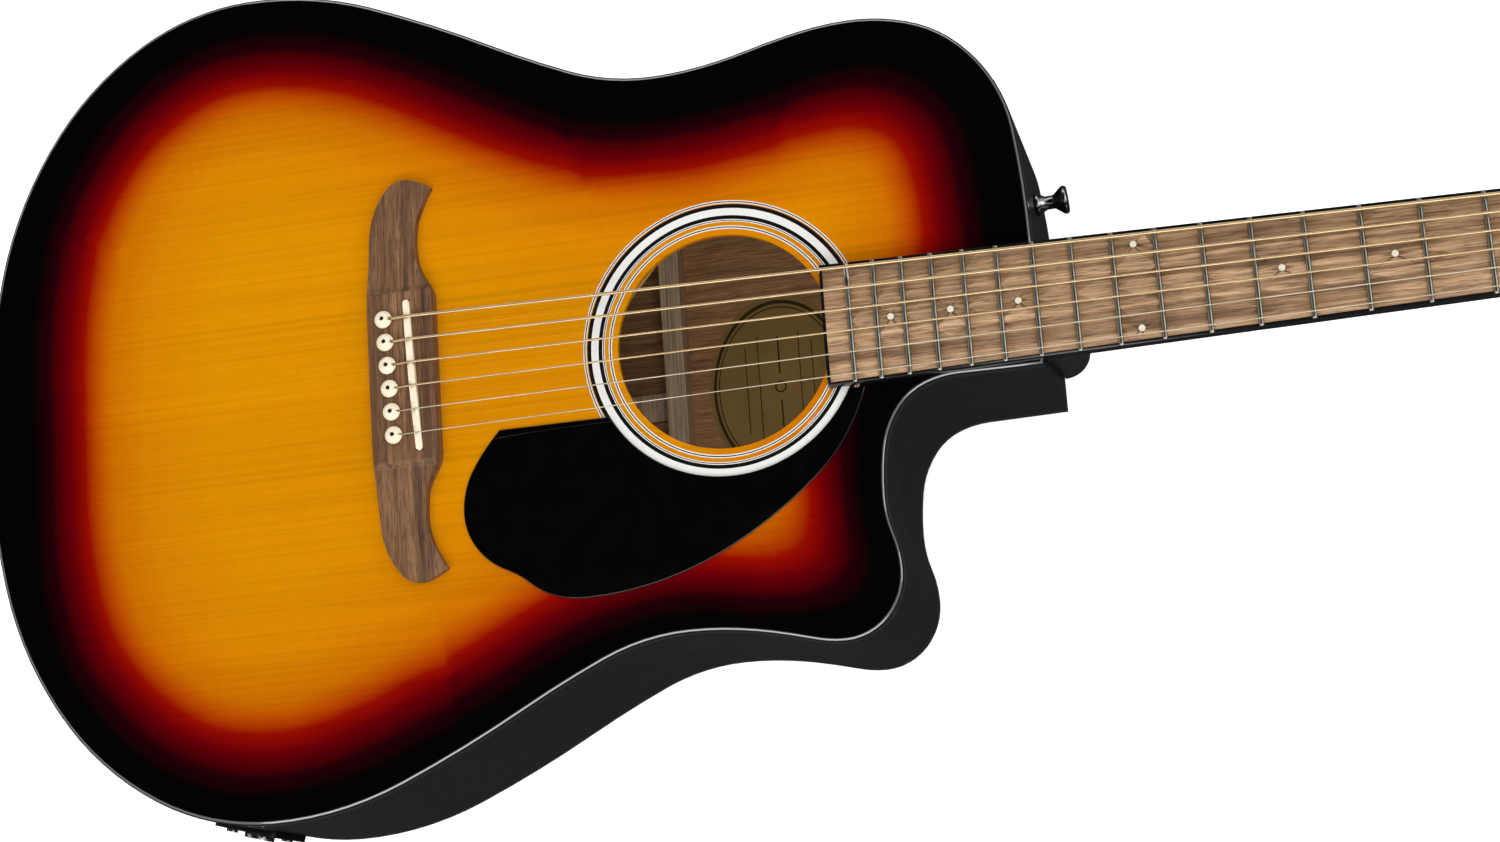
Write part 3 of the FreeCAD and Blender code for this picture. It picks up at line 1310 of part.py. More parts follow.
def strap_profile():
    base, waist, head, length = d.strap_base_radius, d.strap_neck_radius, d.strap_head_radius, d.strap_length
    return [(STRAP_BORE, 0), (base, 0), (base, 1.4), (waist + 0.9, 3.2), (waist, 4.8), (waist, length - 6.4),
            (head - 0.6, length - 2.8), (head, length - 1.4), (head - 0.7, length), (STRAP_BORE, length)]


def strap_places():
    point, normal = wall_at(Vector(150, d.strap_neck_y, 0), Vector(1, 0, 0))
    shoulder = Vector(point.x, point.y, d.strap_neck_z) + normal * d.strap_gap
    tail = Vector(-d.tail_length - d.strap_gap, 0, d.strap_tail_z)
    return [("neck", shoulder, normal), ("tail", tail, Vector(-1, 0, 0))]


def build_strap_buttons():
    buttons = []
    for side, seat, normal in strap_places():
        turn = Placement(seat, Rotation(Vector(0, 0, 1), normal))
        buttons.append(turned_blank(f"strap_button_{side}", strap_profile(), turn))
    joined("strap_buttons", buttons)


def strap_screws():
    """Each button's screw: the part of it outside the wood, sunk in the button's end."""
    shank = STRAP_BORE - 0.1
    return [rod(shank, seat + normal * 0.2, seat + normal * (d.strap_length - 0.3))
            for _, seat, normal in strap_places()]


def build_small_screws():
    groups = [cover_screws(), jack_screws(), strap_screws(), [housing_screw(number) for number in STRINGS]]
    feature("small_screws", group([screw for members in groups for screw in members]))


# ---------------------------------------------------------------------------------------------------
# The whole guitar
# ---------------------------------------------------------------------------------------------------

BUILDERS = [
    build_soundboard, build_rosette, build_sides, build_bindings, build_back, build_blocks, build_linings,
    build_top_braces, build_bridge_plate, build_back_braces, build_label, build_guard, build_bridge,
    build_saddle, build_strings, build_fretboard_and_dots, build_frets, build_nut, build_neck,
    build_veneer, build_truss_rod, build_rod_cover, build_tuners, build_preamp, build_jack,
    build_strap_buttons, build_small_screws,
]


def shift_to_origin():
    """Moves every piece so that the middle of the whole box's underside is the origin."""
    box = FreeCAD.BoundBox()
    for obj in FINISHED:
        box.add(obj.Shape.optimalBoundingBox(False, False))
    shift = Placement(Vector(-box.Center.x, -box.Center.y, -box.ZMin), Rotation())
    for obj in FINISHED:
        obj.Placement = shift.multiply(obj.Placement)
    doc.recompute()
    print("origin shift", shift.Base)


def check_document():
    for obj in doc.Objects:
        if "Invalid" in obj.State or "Error" in obj.State:
            raise RuntimeError(f"{obj.Name} failed: {obj.State}")
    for obj in FINISHED:
        if obj.Shape.isNull() or not obj.Shape.isValid() or not obj.Shape.Solids:
            raise RuntimeError(f"{obj.Label} has no valid solid")


def main():
    for builder in BUILDERS:
        builder()
    doc.recompute()
    shift_to_origin()
    check_document()
    for obj in FINISHED:
        obj.Shape.exportStep(f"parts/{obj.Label}.step")
        print(obj.Label, len(obj.Shape.Solids), round(obj.Shape.Volume, 1))
    print("pieces", len(FINISHED))


main()
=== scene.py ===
import json
import math

import bmesh
import bpy
from mathutils import Euler, Matrix, Vector
from mathutils.kdtree import KDTree

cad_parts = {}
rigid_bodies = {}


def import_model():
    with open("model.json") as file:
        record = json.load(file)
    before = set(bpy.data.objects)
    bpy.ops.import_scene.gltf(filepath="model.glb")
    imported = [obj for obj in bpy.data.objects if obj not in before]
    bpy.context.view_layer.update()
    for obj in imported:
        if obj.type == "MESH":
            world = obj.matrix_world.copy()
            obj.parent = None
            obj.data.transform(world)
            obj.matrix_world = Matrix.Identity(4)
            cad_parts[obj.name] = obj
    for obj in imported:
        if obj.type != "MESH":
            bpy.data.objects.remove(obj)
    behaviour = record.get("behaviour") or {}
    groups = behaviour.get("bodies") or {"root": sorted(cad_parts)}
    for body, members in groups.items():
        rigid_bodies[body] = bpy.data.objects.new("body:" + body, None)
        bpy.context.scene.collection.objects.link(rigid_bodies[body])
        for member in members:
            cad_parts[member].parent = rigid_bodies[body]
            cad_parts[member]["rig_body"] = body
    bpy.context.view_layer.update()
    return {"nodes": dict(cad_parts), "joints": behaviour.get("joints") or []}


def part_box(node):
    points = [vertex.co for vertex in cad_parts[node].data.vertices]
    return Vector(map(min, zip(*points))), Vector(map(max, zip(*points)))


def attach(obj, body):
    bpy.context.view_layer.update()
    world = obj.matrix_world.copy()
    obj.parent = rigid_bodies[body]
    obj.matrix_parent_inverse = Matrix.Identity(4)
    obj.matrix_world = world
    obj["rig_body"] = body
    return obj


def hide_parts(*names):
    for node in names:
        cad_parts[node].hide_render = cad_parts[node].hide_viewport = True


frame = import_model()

bl_info = {
    "name": "Sunburst cutaway guitar",
    "version": (1, 0, 0),
    "blender": (4, 5, 0),
    "location": "3D View > Sidebar > Guitar",
    "description": "Finishes a steel-string guitar: sprayed top, rim, bridge, fretboard, tuners and controls",
    "category": "Object",
}

MM = 0.001
SAME_POINT = 2e-6          # corners of a node closer than this are one corner
FLAT_ENOUGH = math.radians(0.4)
EDGE_SEGMENTS = 2           # facets across a rounded edge
BESIDE = 5 * MM             # the outline's points within this reach give its direction

# ---------------------------------------------------------------------------------------------------
# Places read from the frame
# ---------------------------------------------------------------------------------------------------

SOUNDBOARD_LOW, SOUNDBOARD_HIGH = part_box("soundboard")
HOLE_LOW, HOLE_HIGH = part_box("rosette_white_rings")
HOLE_CENTRE = (HOLE_LOW + HOLE_HIGH) / 2
ROSETTE_REACH = (HOLE_HIGH.x - HOLE_LOW.x) / 2 + 0.3 * MM
LABEL_LOW, LABEL_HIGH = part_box("paper_label")
LABEL_CENTRE = (LABEL_LOW + LABEL_HIGH) / 2
BRIDGE_LOW, BRIDGE_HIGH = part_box("bridge")
NUT_LOW, NUT_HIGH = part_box("nut")
JOINTS = {joint["name"]: joint for joint in frame["joints"]}


def shade(red, green, blue):
    """A display colour of 0 to 255 a channel, as the linear values that a shader uses."""
    shares = (value / 255 for value in (red, green, blue))
    return tuple(s / 12.92 if s <= 0.04045 else ((s + 0.055) / 1.055) ** 2.4 for s in shares)


def colour_property(name, description, display):
    return bpy.props.FloatVectorProperty(name=name, description=description, subtype="COLOR", size=3,
                                         min=0.0, max=1.0, default=shade(*display))


def length_property(name, description, millimetres):
    return bpy.props.FloatProperty(name=name, description=description, unit="LENGTH", min=0.0,
                                   precision=5, default=millimetres * MM)


class GuitarSizes(bpy.types.PropertyGroup):
    """Sizes of the rounded edges and of the small work on the pieces."""
    rim_rounding: length_property("Rim rounding", "Radius of the rim's outer edges", 1.8)
    wood_rounding: length_property("Wood rounding", "Radius on the bridge's and the head's edges", 0.8)
    plastic_rounding: length_property("Plastic rounding", "Radius on guard, panels and covers", 0.35)
    metal_rounding: length_property("Metal rounding", "Radius on housings and plates", 0.6)
    burst_cell: length_property("Spray grid", "Spacing of the points that carry the spray's depth", 7.0)
    rosette_depth: length_property("Rosette masking", "Least spray depth inside the rosette", 66.0)
    burst_span: length_property("Spray span", "Distance from the edge where the colour is lightest", 150.0)
    string_bloom: length_property("String bloom", "Thickness added round the strings, which are thin", 0.1)
    winding_pitch: length_property("Winding pitch", "Length of one turn of a wound string's wrap", 0.5)
    knob_radius: length_property("Control radius", "Radius of a control knob", 5.5)
    knob_height: length_property("Control height", "Height of a control knob", 7.0)
    knob_teeth: bpy.props.IntProperty(name="Control teeth", description="Ridges round a control knob",
                                      min=8, max=60, default=24)


class GuitarColours(bpy.types.PropertyGroup):
    """Colours of the woods, plastics and metals."""
    burst_edge: colour_property("Burst edge", "Sprayed black at the rim", (5, 3, 3))
    burst_wine: colour_property("Burst wine", "First red inside the black", (34, 1, 6))
    burst_cherry: colour_property("Burst cherry", "Deep red of the fade", (96, 0, 6))
    burst_scarlet: colour_property("Burst scarlet", "Brightest red of the fade", (142, 12, 1))
    burst_ember: colour_property("Burst ember", "Red orange", (174, 66, 1))
    burst_orange: colour_property("Burst orange", "Orange at the end of the fade", (195, 106, 2))
    burst_amber: colour_property("Burst amber", "Amber of the field", (206, 125, 3))
    burst_honey: colour_property("Burst honey", "Lightest colour, in the middle", (212, 137, 3))
    rim_satin: colour_property("Rim satin", "Satin lacquer on sides, back and neck", (20, 18, 18))
    rim_black: colour_property("Rim black", "Gloss lacquer on the binding and the head's face", (9, 8, 8))
    walnut_dark: colour_property("Walnut dark", "Dark streaks of bridge and fretboard", (112, 82, 57))
    walnut: colour_property("Walnut", "Body colour of bridge and fretboard", (174, 136, 99))
    walnut_light: colour_property("Walnut light", "Light streaks of bridge and fretboard", (216, 178, 138))
    mahogany: colour_property("Mahogany", "Bare wood inside the body", (200, 150, 104))
    spruce: colour_property("Spruce", "Bare braces and linings", (203, 170, 120))
    cedar: colour_property("Cedar", "Braces across the back", (236, 204, 168))
    bone: colour_property("Bone", "Nut, saddle and pins", (243, 231, 206))
    paper: colour_property("Paper", "Label inside the body", (172, 140, 82))
    ink: colour_property("Ink", "Ruled lines on the label", (48, 38, 24))
    bronze: colour_property("Bronze", "Wrap of the wound strings", (222, 194, 148))
    steel: colour_property("Steel", "Plain strings", (226, 214, 186))
    chrome: colour_property("Dark chrome", "Strap buttons, tuners and screws", (150, 150, 154))


def sizes():
    return bpy.context.scene.guitar_sizes


def colours():
    return bpy.context.scene.guitar_colours


# ---------------------------------------------------------------------------------------------------
# Finishes
# ---------------------------------------------------------------------------------------------------


class Recipe:
    """A finish being mixed: each call adds one node and gives back its outlet."""

    def __init__(self, name, settings):
        self.finish = bpy.data.materials.new(name)
        self.finish.use_nodes = True
        self.nodes = self.finish.node_tree.nodes
        self.links = self.finish.node_tree.links
        self.shader = next(node for node in self.nodes if node.type == "BSDF_PRINCIPLED")
        self.place = self.nodes.new("ShaderNodeTexCoord").outputs["Object"]
        for socket, value in settings.items():
            self.plug(self.shader.inputs[socket], value)

    def plug(self, socket, value):
        if isinstance(value, bpy.types.NodeSocket):
            self.links.new(value, socket)
        elif socket.type == "RGBA":
            socket.default_value = (*value, 1.0)
        else:
            socket.default_value = value

    def node(self, kind, settings=None, inputs=None):
        made = self.nodes.new(f"ShaderNode{kind}")
        for name, value in (settings or {}).items():
            setattr(made, name, value)
        for name, value in (inputs or {}).items():
            self.plug(made.inputs[name], value)
        return made

    def stretch(self, scale, turn=0.0, centre=(0.0, 0.0, 0.0)):
        """Object coordinates about a centre, turned about Z and then multiplied by a scale for each axis."""
        moved = self.node("Mapping", inputs={"Vector": self.place, "Location": [-c for c in centre]})
        return self.node("Mapping", inputs={"Vector": moved.outputs[0], "Rotation": (0, 0, turn),
                                            "Scale": scale}).outputs[0]

    def noise(self, scale, detail=2.0, rough=0.5, warp=0.0, turn=0.0, centre=(0.0, 0.0, 0.0)):
        made = self.node("TexNoise", inputs={"Vector": self.stretch(scale, turn, centre), "Scale": 1.0,
                                             "Detail": detail, "Roughness": rough, "Distortion": warp})
        return made.outputs[0]

    def axis(self, index):
        return self.node("SeparateXYZ", inputs={"Vector": self.place}).outputs[index]

    def maths(self, work, first, second=0.0):
        made = self.node("Math", {"operation": work})
        self.plug(made.inputs[0], first)
        self.plug(made.inputs[1], second)
        return made.outputs[0]

    def band(self, value, low, high):
        """One between two values and nought outside them."""
        above = self.maths("GREATER_THAN", value, low)
        below = self.maths("LESS_THAN", value, high)
        return self.maths("MULTIPLY", above, below)

    def ramp(self, factor, *stops):
        made = self.node("ValToRGB", inputs={"Fac": factor})
        points = made.color_ramp.elements
        while len(points) < len(stops):
            points.new(0.5)
        for point, (where, tone) in zip(points, stops):
            point.position = where
            tone = tone if hasattr(tone, "__len__") else (tone, tone, tone)
            point.color = (*tone, 1.0)
        return made.outputs[0]

    def mix(self, factor, first, second, blend="MIX"):
        made = self.node("Mix", {"data_type": "RGBA", "blend_type": blend})
        self.plug(made.inputs[0], factor)
        self.plug(made.inputs[6], first)
        self.plug(made.inputs[7], second)
        return made.outputs[2]

    def colour(self, value):
        self.plug(self.shader.inputs["Base Color"], value)

    def roughness(self, value):
        self.plug(self.shader.inputs["Roughness"], value)

    def relief(self, height, depth, strength=1.0):
        made = self.node("Bump", inputs={"Height": height, "Distance": depth, "Strength": strength})
        self.plug(self.shader.inputs["Normal"], made.outputs[0])


def axes(along, run, cross):
    """A noise scale that is slow along the grain and fast across it."""
    return (run, cross, cross) if along == "X" else (cross, run, cross)


def timber(name, tones, along, settings, pores=0.5, swirl=0.7):
    """Open wood: slow figure, fine fibres and short dark pores, all drawn out along the grain."""
    dark, middle, light = tones
    recipe = Recipe(name, settings)
    figure = recipe.noise(axes(along, 6.0, 210.0), detail=6.0, rough=0.66, warp=swirl)
    fibres = recipe.noise(axes(along, 26.0, 1100.0), detail=3.0, rough=0.65)
    pore = recipe.noise(axes(along, 130.0, 2400.0), detail=1.0)
    base = recipe.ramp(figure, (0.34, dark), (0.50, middle), (0.68, light))
    streaks = recipe.ramp(fibres, (0.32, 0.60), (0.62, 1.16))
    dashes = recipe.ramp(pore, (0.34, 1.0 - pores), (0.46, 1.0))
    body = recipe.mix(1.0, base, streaks, "MULTIPLY")
    recipe.colour(recipe.mix(1.0, body, dashes, "MULTIPLY"))
    recipe.roughness(recipe.ramp(fibres, (0.3, 0.62), (0.7, 0.46)))
    recipe.relief(recipe.mix(0.5, streaks, dashes), 0.00006, 0.6)
    return recipe.finish


def lacquered(name, tone, rough, coat=0.0, shine=0.5, gloss=1.5):
    """Dark lacquer over wood: faint orange peel, light wear in the sheen, grain showing under it."""
    recipe = Recipe(name, {"Coat Weight": coat, "Coat Roughness": 0.04, "Coat IOR": gloss,
                            "Specular IOR Level": shine})
    cloud = recipe.noise((26.0, 26.0, 26.0), detail=3.0)
    grain = recipe.noise((9.0, 420.0, 420.0), detail=3.0)
    lighter = tuple(min(1.0, 1.7 * part + 0.0015) for part in tone)
    recipe.colour(recipe.mix(recipe.ramp(grain, (0.45, 0.0), (0.75, 0.55)), tone, lighter))
    recipe.roughness(recipe.ramp(cloud, (0.3, rough - 0.05), (0.7, rough + 0.06)))
    recipe.relief(recipe.noise((700.0, 700.0, 700.0), detail=1.0), 0.00002, 0.35)
    return recipe.finish


def moulded(name, tone, rough, speckle=0.25):
    """Plastic: a fine grain in the surface and a slow change in its shine."""
    recipe = Recipe(name, {"Specular IOR Level": 0.5})
    patch = recipe.noise((90.0, 90.0, 90.0), detail=2.0)
    lighter = tuple(min(1.0, part * (1 + speckle) + 0.0008) for part in tone)
    recipe.colour(recipe.mix(recipe.ramp(patch, (0.4, 0.0), (0.7, 1.0)), tone, lighter))
    recipe.roughness(recipe.ramp(patch, (0.3, 0.9 * rough), (0.7, 1.15 * rough)))
    recipe.relief(recipe.noise((1500.0, 1500.0, 1500.0), detail=1.0), 0.00001, 0.4)
    return recipe.finish


def metal(name, tone, rough, brushed=(300.0, 300.0, 300.0)):
    """Metal with fine polishing marks and slightly uneven tone."""
    recipe = Recipe(name, {"Metallic": 1.0})
    marks = recipe.noise(brushed, detail=2.0)
    darker = tuple(part * 0.78 for part in tone)
    recipe.colour(recipe.mix(recipe.ramp(marks, (0.35, 0.0), (0.65, 1.0)), darker, tone))
    recipe.roughness(recipe.ramp(marks, (0.3, rough), (0.7, rough + 0.10)))
    recipe.relief(marks, 0.00001, 0.3)
    return recipe.finish


BURST_STOPS = (("burst_edge", 14), ("burst_wine", 23), ("burst_cherry", 33.5), ("burst_scarlet", 42),
               ("burst_ember", 48), ("burst_orange", 57), ("burst_amber", 75), ("burst_honey", 112))


def burst_finish():
    """The top: sprayed from black at the rim through reds to honey, over straight spruce grain."""
    recipe = Recipe("sunburst_lacquer", {"Coat Weight": 1.0, "Coat Roughness": 0.025, "Coat IOR": 1.5,
                                         "Specular IOR Level": 0.0, "Roughness": 0.5})
    span = sizes().burst_span / MM
    depth = recipe.node("Attribute", {"attribute_name": "spray_depth"}).outputs["Fac"]
    unevenness = recipe.maths("SUBTRACT", recipe.noise((16, 16, 16), detail=2.0), 0.5)
    drift = recipe.maths("MULTIPLY", unevenness, 0.03)
    depth = recipe.maths("ADD", depth, drift)
    across = recipe.maths("POWER", recipe.maths("SUBTRACT", recipe.axis(1), HOLE_CENTRE.y), 2.0)
    along = recipe.maths("POWER", recipe.maths("SUBTRACT", recipe.axis(0), HOLE_CENTRE.x), 2.0)
    masked = recipe.maths("LESS_THAN", recipe.maths("ADD", across, along), ROSETTE_REACH ** 2)
    least = recipe.maths("MULTIPLY", masked, sizes().rosette_depth / sizes().burst_span)
    depth = recipe.maths("MAXIMUM", depth, least)
    spray = recipe.ramp(depth, *[(reach / span, getattr(colours(), name)[:]) for name, reach in BURST_STOPS])
    seam = HOLE_CENTRE.y - 2.0 * MM
    mirrored = recipe.maths("ABSOLUTE", recipe.maths("SUBTRACT", recipe.axis(1), seam))
    along = recipe.maths("MULTIPLY", recipe.axis(0), 2.4)
    lines = recipe.node("CombineXYZ", inputs={"X": along, "Y": recipe.maths("MULTIPLY", mirrored, 520.0)})
    years = recipe.node("TexNoise", inputs={"Vector": lines.outputs[0], "Scale": 1.0, "Detail": 3.0,
                                            "Roughness": 0.6}).outputs[0]
    wide = recipe.node("CombineXYZ", inputs={"X": recipe.maths("MULTIPLY", recipe.axis(0), 1.3),
                                             "Y": recipe.maths("MULTIPLY", mirrored, 62.0)})
    belts = recipe.node("TexNoise", inputs={"Vector": wide.outputs[0], "Scale": 1.0,
                                            "Detail": 2.0}).outputs[0]
    silk = recipe.noise((260.0, 90.0, 1.0), detail=3.0, warp=0.8)
    grain = recipe.mix(1.0, recipe.ramp(years, (0.32, 0.88), (0.56, 1.02)),
                       recipe.ramp(belts, (0.30, 0.955), (0.66, 1.02)), "MULTIPLY")
    grain = recipe.mix(1.0, grain, recipe.ramp(silk, (0.34, 0.975), (0.64, 1.01)), "MULTIPLY")
    halves = recipe.maths("GREATER_THAN", recipe.axis(1), seam)
    grain = recipe.mix(1.0, grain, recipe.mix(halves, (0.96, 0.94, 0.94), (1.0, 1.0, 1.0)), "MULTIPLY")
    recipe.colour(recipe.mix(1.0, spray, grain, "MULTIPLY"))
    recipe.relief(years, 0.00002, 0.25)
    return recipe.finish


def label_finish():
    """Aged paper with a double ring border, ruled lines to write on and a small ring in the middle."""
    recipe = Recipe("label_paper", {"Roughness": 0.85, "Specular IOR Level": 0.2})
    x = recipe.maths("SUBTRACT", recipe.axis(0), LABEL_CENTRE.x)
    y = recipe.maths("SUBTRACT", recipe.axis(1), LABEL_CENTRE.y)
    half_x = (LABEL_HIGH.x - LABEL_LOW.x) / 2
    half_y = (LABEL_HIGH.y - LABEL_LOW.y) / 2

    def oval(reach_x, reach_y):
        u = recipe.maths("POWER", recipe.maths("ABSOLUTE", recipe.maths("DIVIDE", x, reach_x)), 2.0)
        v = recipe.maths("POWER", recipe.maths("ABSOLUTE", recipe.maths("DIVIDE", y, reach_y)), 2.0)
        return recipe.maths("SQRT", recipe.maths("ADD", u, v))

    border = oval(half_x, half_y)
    marks = [recipe.band(border, 0.90, 0.94), recipe.band(border, 0.855, 0.87)]
    dot = oval(3.0 * MM, 3.0 * MM)
    marks.append(recipe.band(dot, 0.72, 1.0))
    for line, reach in ((-17.0, 22.0), (-10.5, 27.0), (10.5, 27.0), (17.0, 22.0)):
        rule = recipe.band(x, (line - 0.25) * MM, (line + 0.25) * MM)
        marks.append(recipe.maths("MULTIPLY", rule, recipe.band(y, -reach * MM, reach * MM)))
    marks.append(recipe.maths("MULTIPLY", recipe.band(x, -0.4 * MM, 0.4 * MM),
                            recipe.maths("MULTIPLY", recipe.band(y, -26 * MM, 26 * MM),
                                       recipe.maths("GREATER_THAN", dot, 2.2))))
    inked = marks[0]
    for mark in marks[1:]:
        inked = recipe.maths("MAXIMUM", inked, mark)
    pulp = recipe.noise((700.0, 700.0, 700.0), detail=4.0)
    age = recipe.noise((45.0, 45.0, 45.0), detail=3.0)
    paper = recipe.mix(recipe.ramp(age, (0.3, 0.0), (0.75, 0.7)), colours().paper[:],
                       tuple(0.72 * part for part in colours().paper))
    recipe.colour(recipe.mix(recipe.maths("MULTIPLY", inked, 0.9), paper, colours().ink[:]))
    recipe.relief(pulp, 0.00003, 0.5)
    return recipe.finish


def dots_finish():
    """Pearl position dots; the dots in the bridge pins, which lie far behind the fretboard, are black."""
    recipe = Recipe("inlay_pearl", {"Coat Weight": 0.4, "Coat Roughness": 0.1, "Specular IOR Level": 0.6})
    swirl = recipe.noise((900.0, 900.0, 900.0), detail=3.0, warp=1.5)
    pearl = recipe.ramp(swirl, (0.3, shade(206, 200, 180)), (0.5, shade(236, 228, 204)),
                        (0.7, shade(222, 224, 210)))
    behind = recipe.maths("LESS_THAN", recipe.axis(0), BRIDGE_HIGH.x + 20 * MM)
    recipe.colour(recipe.mix(behind, pearl, shade(24, 20, 18)))
    recipe.roughness(recipe.ramp(swirl, (0.3, 0.22), (0.7, 0.34)))
    return recipe.finish


def winding_finish():
    """Bronze wire wrapped round a core: painted shade as dark lines between the turns, and a rounded height.
    """
    recipe = Recipe("bronze_winding", {"Metallic": 0.8})
    turns = recipe.maths("MULTIPLY", recipe.axis(0), 2 * math.pi / sizes().winding_pitch)
    height = recipe.maths("ABSOLUTE", recipe.maths("SINE", turns))
    tarnish = recipe.noise((60.0, 60.0, 60.0), detail=3.0)
    bronze = recipe.mix(recipe.ramp(tarnish, (0.3, 0.0), (0.7, 1.0)), colours().bronze[:],
                        tuple(0.8 * part for part in colours().bronze))
    # Painted shade: the colour goes near black where the wrap's height is low, in the grooves between the
    # turns.
    recipe.colour(recipe.mix(recipe.ramp(height, (0.0, 0.75), (0.35, 1.0)), (0.05, 0.03, 0.02), bronze))
    recipe.roughness(recipe.ramp(height, (0.1, 0.45), (0.8, 0.26)))
    recipe.relief(height, 0.00005, 0.25)
    return recipe.finish


def post_finish():
    """Turned posts with fine lathe marks round them."""
    recipe = Recipe("turned_post", {"Metallic": 1.0, "Roughness": 0.2})
    marks = recipe.noise((500.0, 500.0, 2500.0), detail=2.0)
    recipe.colour(recipe.ramp(marks, (0.3, tuple(0.8 * c for c in colours().chrome)),
                              (0.7, tuple(1.2 * c for c in colours().chrome))))
    recipe.roughness(recipe.ramp(marks, (0.3, 0.14), (0.7, 0.26)))
    return recipe.finish


def bone_finish():
    """Bone: ivory with faint cloudy streaks and a dull polish."""
    recipe = Recipe("bone", {"Specular IOR Level": 0.5})
    cloud = recipe.noise((260.0, 70.0, 260.0), detail=3.0)
    warm = tuple(part * shift for part, shift in zip(colours().bone, (0.94, 0.86, 0.72)))
    recipe.colour(recipe.mix(recipe.ramp(cloud, (0.42, 0.0), (0.78, 0.8)), colours().bone[:], warm))
    recipe.roughness(recipe.ramp(cloud, (0.3, 0.28), (0.7, 0.40)))
    return recipe.finish


FINISHES = {}


def finish_of(name):
    """Each finish is mixed once and then shared."""
    if name not in FINISHES:
        FINISHES[name] = FINISH_MAKERS[name]()
    return FINISHES[name]


def walnut_tones():
    tones = colours()
    return tones.walnut_dark[:], tones.walnut[:], tones.walnut_light[:]


def bridge_tones():
    """The bridge is cut from a darker board than the fretboard."""
    return tuple((0.40 * red, 0.31 * green, 0.235 * blue) for red, green, blue in walnut_tones())


def tints(tone, dark=0.62, light=1.28):
    return tuple(dark * c for c in tone), tuple(tone), tuple(min(1.0, light * c) for c in tone)


WAXED = {"Specular IOR Level": 0.4}
BARE = {"Specular IOR Level": 0.2}

FINISH_MAKERS = {
    "burst": burst_finish,
    "label": label_finish,
    "dots": dots_finish,
    "winding": winding_finish,
    "posts": post_finish,
    "bone": bone_finish,
    "bridge wood": lambda: timber("bridge_walnut", bridge_tones(), "Y", WAXED),
    "fretboard wood": lambda: timber("fretboard_walnut", walnut_tones(), "X", WAXED),
    "mahogany": lambda: timber("bare_mahogany", tints(colours().mahogany), "X", BARE, 0.25, 0.5),
    "cedar": lambda: timber("bare_cedar", tints(colours().cedar, 0.8, 1.12), "Y", BARE, 0.15, 0.3),
    "spruce": lambda: timber("bare_spruce", tints(colours().spruce, 0.82, 1.12), "Y", BARE, 0.1, 0.2),
    "satin rim": lambda: lacquered("satin_black", colours().rim_satin[:], 0.32, 0.0, 0.35),
    "gloss binding": lambda: lacquered("binding_lacquer", colours().rim_black[:], 0.16, 1.0, 0.5, 2.0),
    "head face": lambda: lacquered("head_lacquer", colours().rim_black[:], 0.3, 1.0),
    "guard plastic": lambda: moulded("guard_plastic", shade(4, 4, 4), 0.04, 0.05),
    "black plastic": lambda: moulded("black_plastic", shade(14, 14, 15), 0.25),
    "panel plastic": lambda: moulded("panel_plastic", shade(20, 20, 21), 0.42),
    "white plastic": lambda: moulded("white_plastic", shade(226, 224, 219), 0.2, 0.03),
    "window": lambda: moulded("display_window", shade(30, 38, 36), 0.06),
    "plain string": lambda: metal("plain_string", colours().steel[:], 0.42, (40.0, 300.0, 300.0)),
    "fret metal": lambda: metal("fret_metal", shade(158, 156, 146), 0.28, (1200.0, 60.0, 1200.0)),
    "steel": lambda: metal("plain_steel", colours().steel[:], 0.35),
    "chrome": lambda: metal("dark_chrome", colours().chrome[:], 0.12),
    "black metal": lambda: metal("black_metal", shade(40, 40, 42), 0.4),
}

# ---------------------------------------------------------------------------------------------------
# Working with meshes
# ---------------------------------------------------------------------------------------------------


def only(piece):
    """Makes a piece the one that operators act on."""
    bpy.ops.object.select_all(action="DESELECT")
    piece.select_set(True)
    bpy.context.view_layer.objects.active = piece


def in_edit(piece, *steps):
    only(piece)
    bpy.ops.object.mode_set(mode="EDIT")
    bpy.ops.mesh.select_all(action="SELECT")
    for step in steps:
        step()
    bpy.ops.object.mode_set(mode="OBJECT")


def apply_modifier(piece, kind, **settings):
    only(piece)
    modifier = piece.modifiers.new(kind.title(), kind)
    for name, value in settings.items():
        setattr(modifier, name, value)
    bpy.ops.object.modifier_apply(modifier=modifier.name)


def smooth(piece, degrees=35.0):
    only(piece)
    bpy.ops.object.shade_smooth_by_angle(angle=math.radians(degrees))


def body_of(node):
    return frame["nodes"][node]["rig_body"]


def wear(piece, *names):
    """Gives a piece its finishes, in the order of its faces' slots."""
    piece.data.materials.clear()
    for name in names:
        piece.data.materials.append(finish_of(name))


def stand_for(piece, node):
    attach(piece, body_of(node))
    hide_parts(node)


def worked_copy(node, name, rounding=0.0, sharp=30.0, flatten=True):
    """A mesh copy of a node with its corners joined and its edges rounded, which stands for it."""
    piece = bpy.data.objects.new(name, frame["nodes"][node].data.copy())
    bpy.context.scene.collection.objects.link(piece)
    in_edit(piece, lambda: bpy.ops.mesh.remove_doubles(threshold=SAME_POINT))
    if flatten:
        in_edit(piece, lambda: bpy.ops.mesh.dissolve_limited(angle_limit=FLAT_ENOUGH))
    if rounding:
        apply_modifier(piece, "BEVEL", width=rounding, segments=EDGE_SEGMENTS, limit_method="ANGLE",
                       angle_limit=math.radians(sharp), use_clamp_overlap=True, harden_normals=False)
    smooth(piece)
    stand_for(piece, node)
    return piece


def sort_faces(piece, chooser):
    """Sets each face's finish slot by its middle and its normal."""
    for face in piece.data.polygons:
        face.material_index = chooser(face.center, face.normal)


# ---------------------------------------------------------------------------------------------------
# Body
# ---------------------------------------------------------------------------------------------------


